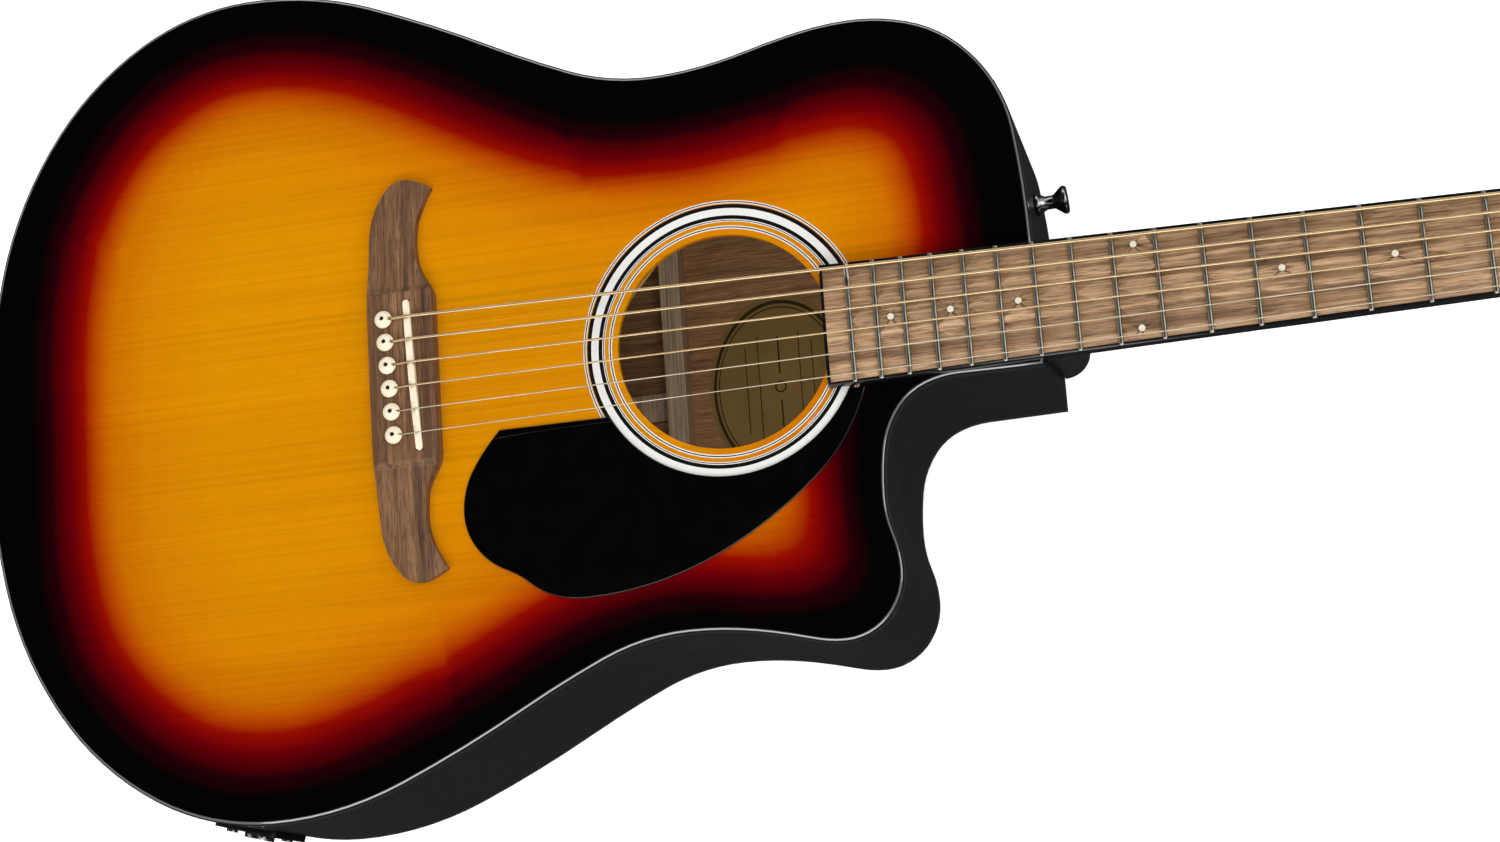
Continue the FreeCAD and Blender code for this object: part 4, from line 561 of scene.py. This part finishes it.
def rim_loops(mesh, facing):
    """Closed rows of edges between a face that points up (or down) and an upright wall, longest first."""
    rows = []
    edges = set()
    for edge in mesh.edges:
        if len(edge.link_faces) != 2:
            continue
        tilts = sorted(abs(face.normal.z) for face in edge.link_faces)
        level = max(facing * face.normal.z for face in edge.link_faces)
        if tilts[0] < 0.3 and level > 0.7:
            edges.add(edge)
    while edges:
        row, waiting = [], [edges.pop()]
        while waiting:
            edge = waiting.pop()
            row.append(edge)
            for vertex in edge.verts:
                for other in vertex.link_edges:
                    if other in edges:
                        edges.discard(other)
                        waiting.append(other)
        rows.append(row)
    return sorted(rows, key=lambda row: sum(edge.calc_length() for edge in row), reverse=True)


def outermost(rows, facing):
    """Of the outer edges of the top's and the back's binding, the one that the eye sees."""
    return max(rows, key=lambda row: facing * row[0].verts[0].co.z)


def round_rim(piece):
    """Rounds the outer edge of the top and of the back, and leaves the inner edges sharp."""
    mesh = bmesh.new()
    mesh.from_mesh(piece.data)
    mesh.edges.ensure_lookup_table()
    outer = {edge.index for facing in (1, -1) for edge in outermost(rim_loops(mesh, facing)[:2], facing)}
    mesh.free()
    weights = piece.data.attributes.new("bevel_weight_edge", "FLOAT", "EDGE")
    weights.data.foreach_set("value", [float(index in outer) for index in range(len(piece.data.edges))])
    apply_modifier(piece, "BEVEL", width=sizes().rim_rounding, segments=4, limit_method="WEIGHT",
                   use_clamp_overlap=False)


def rim_tree():
    """Points 1 mm apart along the outer top edge of the binding, for measuring how far a place is from it."""
    mesh = bmesh.new()
    mesh.from_mesh(frame["nodes"]["body_bindings"].data)
    bmesh.ops.remove_doubles(mesh, verts=mesh.verts, dist=SAME_POINT)
    spots = []
    for edge in rim_loops(mesh, 1)[0]:
        first, last = (vertex.co for vertex in edge.verts)
        count = max(1, int((last - first).length / MM))
        spots += [first.lerp(last, step / count) for step in range(count + 1)]
    mesh.free()
    tree = KDTree(len(spots))
    for index, spot in enumerate(spots):
        tree.insert((spot.x, spot.y, 0.0), index)
    tree.balance()
    return tree


def true_wall(piece, tree):
    """Gives the outer wall's corners the normals of the outline, so that the bent side shades evenly."""
    mesh = piece.data
    found = {}
    normals = [tuple(corner.vector) for corner in mesh.corner_normals]
    for face in mesh.polygons:
        if face.material_index or abs(face.normal.z) > 0.3:
            continue
        for corner in face.loop_indices:
            index = mesh.loops[corner].vertex_index
            if index not in found:
                found[index] = wall_normal(mesh.vertices[index].co, tree)
            way = found[index] if found[index].dot(face.normal) > 0 else -found[index]
            if way.dot(face.normal) > 0.9:
                normals[corner] = tuple(way)
    mesh.normals_split_custom_set(normals)


def wall_normal(place, tree):
    """Square to the line through the outline's points within a few millimetres."""
    near = [spot for spot, _, _ in tree.find_range((place.x, place.y, 0.0), BESIDE)]
    middle = sum(near, Vector((0, 0, 0))) / len(near)
    xx = sum((spot.x - middle.x) ** 2 for spot in near)
    yy = sum((spot.y - middle.y) ** 2 for spot in near)
    xy = sum((spot.x - middle.x) * (spot.y - middle.y) for spot in near)
    turn = 0.5 * math.atan2(2 * xy, xx - yy)
    return Vector((-math.sin(turn), math.cos(turn), 0.0))


# How much deeper in the spray (in mm, so lighter) a few spots of the top lie than their distance from the
# rim says. The spots are given as shares of the top's length and of its half width.
SPRAY_SHIFTS = (
    (0.14, 0.80, -2.0), (0.02, 0.00, -13.0), (0.14, -0.80, 3.0), (0.42, 0.80, -1.0), (0.62, 0.62, -11.0),
    (0.62, -0.62, 3.0), (0.80, 0.66, -12.0), (0.97, 0.30, -9.0), (0.77, -0.43, 32.0), (0.72, -0.30, 16.0),
    (0.86, -0.40, -9.0), (0.83, -0.66, -8.0), (0.90, -0.20, -9.0), (0.38, -0.80, 2.0),
)
SHIFT_REACH = 0.0015        # square metres: how far one spot's shift spreads
SPRAY_SOFTENING = 12        # rounds of blending with the neighbouring points
SOFTENED_SHARE = 0.6        # how much of a point's value its neighbours give in one round
HARD_EDGE = 12 * MM         # nearer to the rim than this the colour isn't blended


def spray_shift(x, y):
    """The shift at a place, blended from the spots by their nearness."""
    length = SOUNDBOARD_HIGH.x - SOUNDBOARD_LOW.x
    half = (SOUNDBOARD_HIGH.y - SOUNDBOARD_LOW.y) / 2
    total, weights = 0.0, 0.0
    for along, across, shift in SPRAY_SHIFTS:
        dx = x - (SOUNDBOARD_LOW.x + along * length)
        dy = y - across * half
        weight = 1.0 / (dx * dx + dy * dy + SHIFT_REACH)
        total += weight * shift
        weights += weight
    return total / weights * MM


def cut_in_cells(piece, cell):
    """Bisects the whole mesh on a square grid, so that a value on its points follows the outline."""
    low, high = SOUNDBOARD_LOW, SOUNDBOARD_HIGH

    def bisect_all():
        for axis, start, stop in ((0, low.x, high.x), (1, low.y, high.y)):
            for step in range(1, int((stop - start) / cell)):
                place = Vector((0, 0, 0))
                place[axis] = start + step * cell
                way = Vector((0, 0, 0))
                way[axis] = 1.0
                bpy.ops.mesh.select_all(action="SELECT")
                bpy.ops.mesh.bisect(plane_co=place, plane_no=way)

    in_edit(piece, bisect_all)


def measure_spray(piece):
    """Stores how deep in the spray each point lies, and rounds the ridges off as a sprayed cloud would."""
    tree = rim_tree()
    span = sizes().burst_span
    values = []
    for vertex in piece.data.vertices:
        distance = tree.find((vertex.co.x, vertex.co.y, 0.0))[2]
        values.append((distance + spray_shift(vertex.co.x, vertex.co.y)) / span)
    neighbours = [[] for _ in values]
    for edge in piece.data.edges:
        first, last = edge.vertices
        neighbours[first].append(last)
        neighbours[last].append(first)
    for _ in range(SPRAY_SOFTENING):
        values = [(1 - SOFTENED_SHARE) * value
                  + SOFTENED_SHARE * sum(values[other] for other in near) / len(near)
                  if near and value * span > HARD_EDGE else value
                  for value, near in zip(values, neighbours)]
    layer = piece.data.attributes.new("spray_depth", "FLOAT", "POINT")
    layer.data.foreach_set("value", values)


class GUITAR_OT_top(bpy.types.Operator):
    """Finish the soundboard: sprayed lacquer outside and bare spruce inside"""
    bl_idname = "guitar.top"
    bl_label = "Sprayed top"

    def execute(self, context):
        piece = worked_copy("soundboard", "sprayed_top")
        cut_in_cells(piece, sizes().burst_cell)
        measure_spray(piece)
        wear(piece, "burst", "spruce")
        sort_faces(piece, lambda middle, normal: 1 if normal.z < -0.5 else 0)
        return {"FINISHED"}


class GUITAR_OT_rim(bpy.types.Operator):
    """Finish the sides and the back in satin black and the binding in gloss black, with bare wood inside"""
    bl_idname = "guitar.rim"
    bl_label = "Rim and back"

    def execute(self, context):
        binding = worked_copy("body_bindings", "rounded_binding")
        round_rim(binding)
        smooth(binding, 50.0)
        wear(binding, "gloss binding")
        tree = rim_tree()

        def outside(middle, normal):
            return 0 if tree.find((middle.x, middle.y, 0.0))[2] < MM else 1

        for node, name in (("bass_side", "bass_rim"), ("treble_side", "treble_rim")):
            side = worked_copy(node, name, flatten=False)
            wear(side, "satin rim", "mahogany")
            sort_faces(side, outside)
            true_wall(side, tree)
        back = worked_copy("back_plate", "arched_back", flatten=False)
        wear(back, "satin rim", "mahogany")
        sort_faces(back, lambda middle, normal: 1 if normal.z > 0.3 else 0)
        return {"FINISHED"}


class GUITAR_OT_inside(bpy.types.Operator):
    """Finish the blocks, linings, braces and label inside the body"""
    bl_idname = "guitar.inside"
    bl_label = "Inside"

    def execute(self, context):
        for node, finish in (("neck_block", "mahogany"), ("tail_block", "mahogany"), ("linings", "spruce"),
                             ("x_brace_rising", "spruce"), ("x_brace_falling", "spruce"),
                             ("top_braces", "spruce"), ("bridge_plate", "bridge wood"),
                             ("back_braces", "cedar"), ("neck_bolts", "steel"), ("truss_rod", "steel"),
                             ("under_saddle_pickup", "steel"), ("preamp_housing", "black plastic"),
                             ("paper_label", "label")):
            wear(frame["nodes"][node], finish)
        return {"FINISHED"}


class GUITAR_OT_rosette(bpy.types.Operator):
    """Finish the rings round the soundhole"""
    bl_idname = "guitar.rosette"
    bl_label = "Rosette"

    def execute(self, context):
        for node, name, finish in (("rosette_black_rings", "black_rings", "black plastic"),
                                   ("rosette_white_rings", "white_rings", "white plastic")):
            rings = worked_copy(node, name)
            wear(rings, finish)
        return {"FINISHED"}


class GUITAR_OT_guard(bpy.types.Operator):
    """Finish the guard beside the soundhole"""
    bl_idname = "guitar.guard"
    bl_label = "Guard"

    def execute(self, context):
        guard = worked_copy("pickguard", "guard", sizes().plastic_rounding)
        wear(guard, "guard plastic")
        return {"FINISHED"}


# ---------------------------------------------------------------------------------------------------
# Bridge and strings
# ---------------------------------------------------------------------------------------------------


class GUITAR_OT_bridge(bpy.types.Operator):
    """Finish the bridge, its saddle and its pins"""
    bl_idname = "guitar.bridge"
    bl_label = "Bridge"

    def execute(self, context):
        bridge = worked_copy("bridge", "carved_bridge", sizes().wood_rounding, 25.0)
        wear(bridge, "bridge wood")
        saddle = worked_copy("saddle", "saddle_bone")
        wear(saddle, "bone")
        pins = worked_copy("bridge_pins", "pins")
        wear(pins, "bone")
        wear(frame["nodes"]["inlay_dots"], "dots")
        return {"FINISHED"}


class GUITAR_OT_strings(bpy.types.Operator):
    """Finish the plain and the wound strings"""
    bl_idname = "guitar.strings"
    bl_label = "Strings"

    def execute(self, context):
        for node, name, finish in (("plain_strings", "plain_pair", "plain string"),
                                   ("wound_strings", "wound_four", "winding")):
            strings = worked_copy(node, name, flatten=False)
            in_edit(strings, lambda: bpy.ops.transform.shrink_fatten(value=sizes().string_bloom))
            smooth(strings, 60.0)
            wear(strings, finish)
        return {"FINISHED"}


# ---------------------------------------------------------------------------------------------------
# Neck
# ---------------------------------------------------------------------------------------------------


class GUITAR_OT_fretboard(bpy.types.Operator):
    """Finish the fretboard, its binding, the frets and the nut"""
    bl_idname = "guitar.fretboard"
    bl_label = "Fretboard"

    def execute(self, context):
        board = worked_copy("fretboard", "fingerboard", flatten=False)
        wear(board, "fretboard wood")
        edging = worked_copy("fretboard_binding", "fingerboard_binding", flatten=False)
        wear(edging, "black plastic")
        frets = worked_copy("frets", "fret_wire", flatten=False)
        smooth(frets, 50.0)
        wear(frets, "fret metal")
        nut = worked_copy("nut", "nut_bone")
        wear(nut, "bone")
        return {"FINISHED"}


class GUITAR_OT_neck(bpy.types.Operator):
    """Finish the neck, the heel and the head with its face and cover"""
    bl_idname = "guitar.neck"
    bl_label = "Neck and head"

    def execute(self, context):
        neck = worked_copy("neck", "carved_neck", flatten=False)
        smooth(neck, 40.0)
        wear(neck, "satin rim")
        for node, name, rounding, finish in (
                ("heel_cap", "heel_plate", sizes().plastic_rounding, "black plastic"),
                ("headstock_veneer", "head_face", sizes().plastic_rounding, "head face"),
                ("truss_rod_cover", "rod_cover", sizes().plastic_rounding, "panel plastic"),
                ("truss_rod_nut", "rod_nut_hex", sizes().plastic_rounding, "steel")):
            piece = worked_copy(node, name, rounding)
            wear(piece, finish)
        return {"FINISHED"}


class GUITAR_OT_tuners(bpy.types.Operator):
    """Finish the six geared tuners"""
    bl_idname = "guitar.tuners"
    bl_label = "Tuners"

    def execute(self, context):
        housings = worked_copy("tuner_housings", "gear_boxes", sizes().metal_rounding)
        wear(housings, "chrome")
        bushings = worked_copy("tuner_bushings", "post_bushings", sizes().plastic_rounding)
        wear(bushings, "chrome")
        for number in range(1, 7):
            post = worked_copy(f"tuner_post_{number}", f"string_post_{number}", flatten=False)
            wear(post, "posts")
            button = worked_copy(f"tuner_knob_{number}", f"tuner_button_{number}", flatten=False)
            wear(button, "chrome")
        return {"FINISHED"}


# ---------------------------------------------------------------------------------------------------
# Controls and fittings
# ---------------------------------------------------------------------------------------------------


def knurled_knob():
    """A control knob about Z, standing on the floor of its own frame: ridged side and dished top."""
    radius, height, teeth = sizes().knob_radius, sizes().knob_height, sizes().knob_teeth
    bpy.ops.object.select_all(action="DESELECT")
    bpy.ops.mesh.primitive_cylinder_add(vertices=2 * teeth, radius=radius, depth=height,
                                        location=(0.0, 0.0, height / 2))
    knob = bpy.context.object
    bpy.ops.object.transform_apply(location=True, rotation=True, scale=True)
    bpy.ops.object.mode_set(mode="EDIT")
    bpy.ops.mesh.select_mode(type="FACE")
    bpy.ops.mesh.select_all(action="DESELECT")
    mesh = bmesh.from_edit_mesh(knob.data)
    for face in mesh.faces:
        middle = face.calc_center_median()
        turn = math.atan2(middle.y, middle.x) / (2 * math.pi) * 2 * teeth
        if abs(face.normal.z) < 0.5 and int(math.floor(turn)) % 2 == 0:
            face.select = True
    bmesh.update_edit_mesh(knob.data)
    bpy.ops.mesh.inset(thickness=0.12 * MM, depth=-0.35 * MM, use_individual=True)
    bpy.ops.mesh.select_all(action="DESELECT")
    mesh = bmesh.from_edit_mesh(knob.data)
    for face in mesh.faces:
        face.select = face.normal.z > 0.9
    bmesh.update_edit_mesh(knob.data)
    bpy.ops.mesh.inset(thickness=0.7 * MM, depth=0.5 * MM)
    bpy.ops.mesh.inset(thickness=0.8 * MM, depth=0.0)
    bpy.ops.mesh.inset(thickness=1.2 * MM, depth=-0.5 * MM)
    bpy.ops.object.mode_set(mode="OBJECT")
    return knob


class GUITAR_OT_controls(bpy.types.Operator):
    """Finish the panel in the side and model its three ridged knobs"""
    bl_idname = "guitar.controls"
    bl_label = "Controls"

    def execute(self, context):
        panel = worked_copy("preamp_panel", "control_panel", sizes().plastic_rounding)
        wear(panel, "panel plastic")
        window = worked_copy("tuner_display", "display")
        wear(window, "window")
        button = worked_copy("tuner_button", "push_button", sizes().plastic_rounding)
        wear(button, "black plastic")
        master = knurled_knob()
        for number in (1, 2, 3):
            knob = master.copy()
            knob.data = master.data.copy()
            knob.name = f"control_knob_{number}"
            context.scene.collection.objects.link(knob)
            joint = JOINTS[f"preamp_knob_{number}_turn"]
            low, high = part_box(f"preamp_knob_{number}")
            axis = Vector(joint["axis"])
            seat = Vector(joint["pos_m"])
            ends = [(Vector(corner) - seat).dot(axis) for corner in (low, high)]
            # The lower of the box's two corners along the axis. It lies well behind the panel's face, so the
            # ridged knob doesn't show from outside.
            knob.data.transform(Matrix.Translation(seat + axis * min(ends))
                                @ axis.to_track_quat("Z", "Y").to_matrix().to_4x4())
            smooth(knob, 30.0)
            wear(knob, "panel plastic")
            stand_for(knob, f"preamp_knob_{number}")
        bpy.data.objects.remove(master)
        return {"FINISHED"}


class GUITAR_OT_fittings(bpy.types.Operator):
    """Finish the jack, the strap buttons and the small screws"""
    bl_idname = "guitar.fittings"
    bl_label = "Fittings"

    def execute(self, context):
        for node, name, rounding, finish in (
                ("jack_plate", "output_plate", sizes().plastic_rounding, "black metal"),
                ("jack_socket", "output_socket", 0.2 * MM, "chrome"),
                ("strap_buttons", "strap_pegs", 0.5 * MM, "chrome"),
                ("small_screws", "screws", 0.2 * MM, "chrome")):
            piece = worked_copy(node, name, rounding)
            wear(piece, finish)
        return {"FINISHED"}


# ---------------------------------------------------------------------------------------------------
# Stage
# ---------------------------------------------------------------------------------------------------


def softbox(name, place, target, width, depth, power, shown=True):
    """A soft light aimed at a target. One that isn't shown gives light without a reflection."""
    lamp = bpy.data.lights.new(name, "AREA")
    lamp.shape = "RECTANGLE"
    lamp.size = width
    lamp.size_y = depth
    lamp.energy = power
    box = bpy.data.objects.new(name, lamp)
    bpy.context.scene.collection.objects.link(box)
    way = Vector(target) - Vector(place)
    box.location = place
    box.rotation_euler = way.to_track_quat("-Z", "Y").to_euler()
    box.visible_glossy = shown
    box.visible_camera = False
    return box


ROOM_LIGHT = 0.42
FLAG_WAY = (-0.2, 0.31, 1.17)
FLAG_EDGES = (33, 44)       # degrees from the flag's middle: fully dark inside the first
BELOW_HORIZON = 0.04


def light_the_room(world):
    """Even light from all round, and white to the eye. In reflections the room is bright above the horizon,
    apart from a dark flag that hangs where the lacquered top would mirror it."""
    nodes, links = world.node_tree.nodes, world.node_tree.links
    backdrop = nodes["Background"]
    path = nodes.new("ShaderNodeLightPath")
    way = nodes.new("ShaderNodeTexCoord")
    flag = nodes.new("ShaderNodeVectorMath")
    flag.operation = "DOT_PRODUCT"
    flag.inputs[1].default_value = Vector(FLAG_WAY).normalized()
    links.new(way.outputs["Generated"], flag.inputs[0])
    edge = nodes.new("ShaderNodeMapRange")
    edge.inputs["From Min"].default_value = math.cos(math.radians(FLAG_EDGES[1]))
    edge.inputs["From Max"].default_value = math.cos(math.radians(FLAG_EDGES[0]))
    edge.inputs["To Min"].default_value = 1.0
    edge.inputs["To Max"].default_value = 0.0
    links.new(flag.outputs["Value"], edge.inputs["Value"])
    height = nodes.new("ShaderNodeSeparateXYZ")
    links.new(way.outputs["Generated"], height.inputs[0])
    sky = nodes.new("ShaderNodeMapRange")
    sky.inputs["From Min"].default_value = 0.02
    sky.inputs["From Max"].default_value = 0.3
    sky.inputs["To Min"].default_value = BELOW_HORIZON
    links.new(height.outputs["Z"], sky.inputs["Value"])
    mirrored = nodes.new("ShaderNodeMath")
    mirrored.operation = "MULTIPLY"
    links.new(edge.outputs[0], mirrored.inputs[0])
    links.new(sky.outputs[0], mirrored.inputs[1])
    choice = nodes.new("ShaderNodeMix")
    links.new(path.outputs["Is Glossy Ray"], choice.inputs[0])
    choice.inputs[2].default_value = ROOM_LIGHT
    links.new(mirrored.outputs[0], choice.inputs[3])
    seen = nodes.new("ShaderNodeMix")
    links.new(path.outputs["Is Camera Ray"], seen.inputs[0])
    links.new(choice.outputs[0], seen.inputs[2])
    seen.inputs[3].default_value = 1.0
    links.new(seen.outputs[0], backdrop.inputs["Strength"])
    backdrop.inputs["Color"].default_value = (1.0, 1.0, 1.0, 1.0)


def floor_finish():
    recipe = Recipe("floor_paper", {"Roughness": 0.9, "Specular IOR Level": 0.1,
                                    "Emission Color": (1.0, 1.0, 1.0), "Emission Strength": 0.62})
    cloud = recipe.noise((3.0, 3.0, 3.0), detail=2.0)
    recipe.colour(recipe.ramp(cloud, (0.3, 0.86), (0.7, 0.90)))
    return recipe.finish


CAMERA_LENS = 65.479
CAMERA_SENSOR = 36.0
CAMERA_SHIFT = (0.00013, -0.00287)
CAMERA_PLACE = (0.10109, -0.30968, 1.29666)
CAMERA_TURN = (12.0159, 12.5217, -4.1479)     # degrees about X, Y and Z
FLOOR_SIZE = 14.0
FLOOR_LEVEL = -0.0003
LIT_SPOT = (0.0, 0.0, 0.1)


class GUITAR_OT_stage(bpy.types.Operator):
    """Lay the floor, hang the lights and set the camera"""
    bl_idname = "guitar.stage"
    bl_label = "Stage"

    def execute(self, context):
        scene = context.scene
        camera = bpy.data.cameras.new("camera")
        camera.lens = CAMERA_LENS
        camera.sensor_width = CAMERA_SENSOR
        camera.shift_x, camera.shift_y = CAMERA_SHIFT
        holder = bpy.data.objects.new("camera", camera)
        scene.collection.objects.link(holder)
        holder.location = CAMERA_PLACE
        holder.rotation_euler = Euler([math.radians(turn) for turn in CAMERA_TURN], "XYZ")
        scene.camera = holder

        bpy.ops.object.select_all(action="DESELECT")
        bpy.ops.mesh.primitive_plane_add(size=FLOOR_SIZE, location=(0.0, 0.0, FLOOR_LEVEL))
        floor = bpy.context.object
        floor.name = "floor"
        bpy.ops.object.transform_apply(location=True, rotation=True, scale=True)
        floor.data.materials.append(floor_finish())

        world = bpy.data.worlds.new("room")
        world.use_nodes = True
        light_the_room(world)
        scene.world = world
        floor.visible_glossy = False
        softbox("overhead", (-0.1, 0.2, 2.6), LIT_SPOT, 3.0, 3.0, 32.0, shown=False)
        softbox("front_box", (0.1, -2.1, 1.9), LIT_SPOT, 3.4, 1.6, 50.0)
        softbox("back_box", (-0.2, 2.5, 1.7), LIT_SPOT, 2.4, 0.7, 9.0)
        softbox("right_box", (2.6, 0.3, 1.6), LIT_SPOT, 1.2, 0.8, 12.0)
        scene.view_settings.view_transform = "Standard"
        return {"FINISHED"}


STEPS = (GUITAR_OT_stage, GUITAR_OT_top, GUITAR_OT_rim, GUITAR_OT_inside, GUITAR_OT_rosette,
         GUITAR_OT_guard, GUITAR_OT_bridge, GUITAR_OT_strings, GUITAR_OT_fretboard, GUITAR_OT_neck,
         GUITAR_OT_tuners, GUITAR_OT_controls, GUITAR_OT_fittings)


class GUITAR_PT_workshop(bpy.types.Panel):
    """Lists the steps, sizes and colours of the guitar"""
    bl_idname = "GUITAR_PT_workshop"
    bl_label = "Guitar"
    bl_space_type = "VIEW_3D"
    bl_region_type = "UI"
    bl_category = "Guitar"

    def draw(self, context):
        for step in STEPS:
            self.layout.operator(step.bl_idname)
        for group in (context.scene.guitar_sizes, context.scene.guitar_colours):
            column = self.layout.column(align=True)
            for name in group.__annotations__:
                column.prop(group, name)


CLASSES = (GuitarSizes, GuitarColours) + STEPS + (GUITAR_PT_workshop,)


def register():
    for item in CLASSES:
        bpy.utils.register_class(item)
    bpy.types.Scene.guitar_sizes = bpy.props.PointerProperty(type=GuitarSizes)
    bpy.types.Scene.guitar_colours = bpy.props.PointerProperty(type=GuitarColours)


def unregister():
    del bpy.types.Scene.guitar_colours
    del bpy.types.Scene.guitar_sizes
    for item in reversed(CLASSES):
        bpy.utils.unregister_class(item)


def main():
    register()
    bpy.ops.guitar.stage()
    bpy.ops.guitar.top()
    bpy.ops.guitar.rim()
    bpy.ops.guitar.inside()
    bpy.ops.guitar.rosette()
    bpy.ops.guitar.guard()
    bpy.ops.guitar.bridge()
    bpy.ops.guitar.strings()
    bpy.ops.guitar.fretboard()
    bpy.ops.guitar.neck()
    bpy.ops.guitar.tuners()
    bpy.ops.guitar.controls()
    bpy.ops.guitar.fittings()


if __name__ == "__main__":
    main()
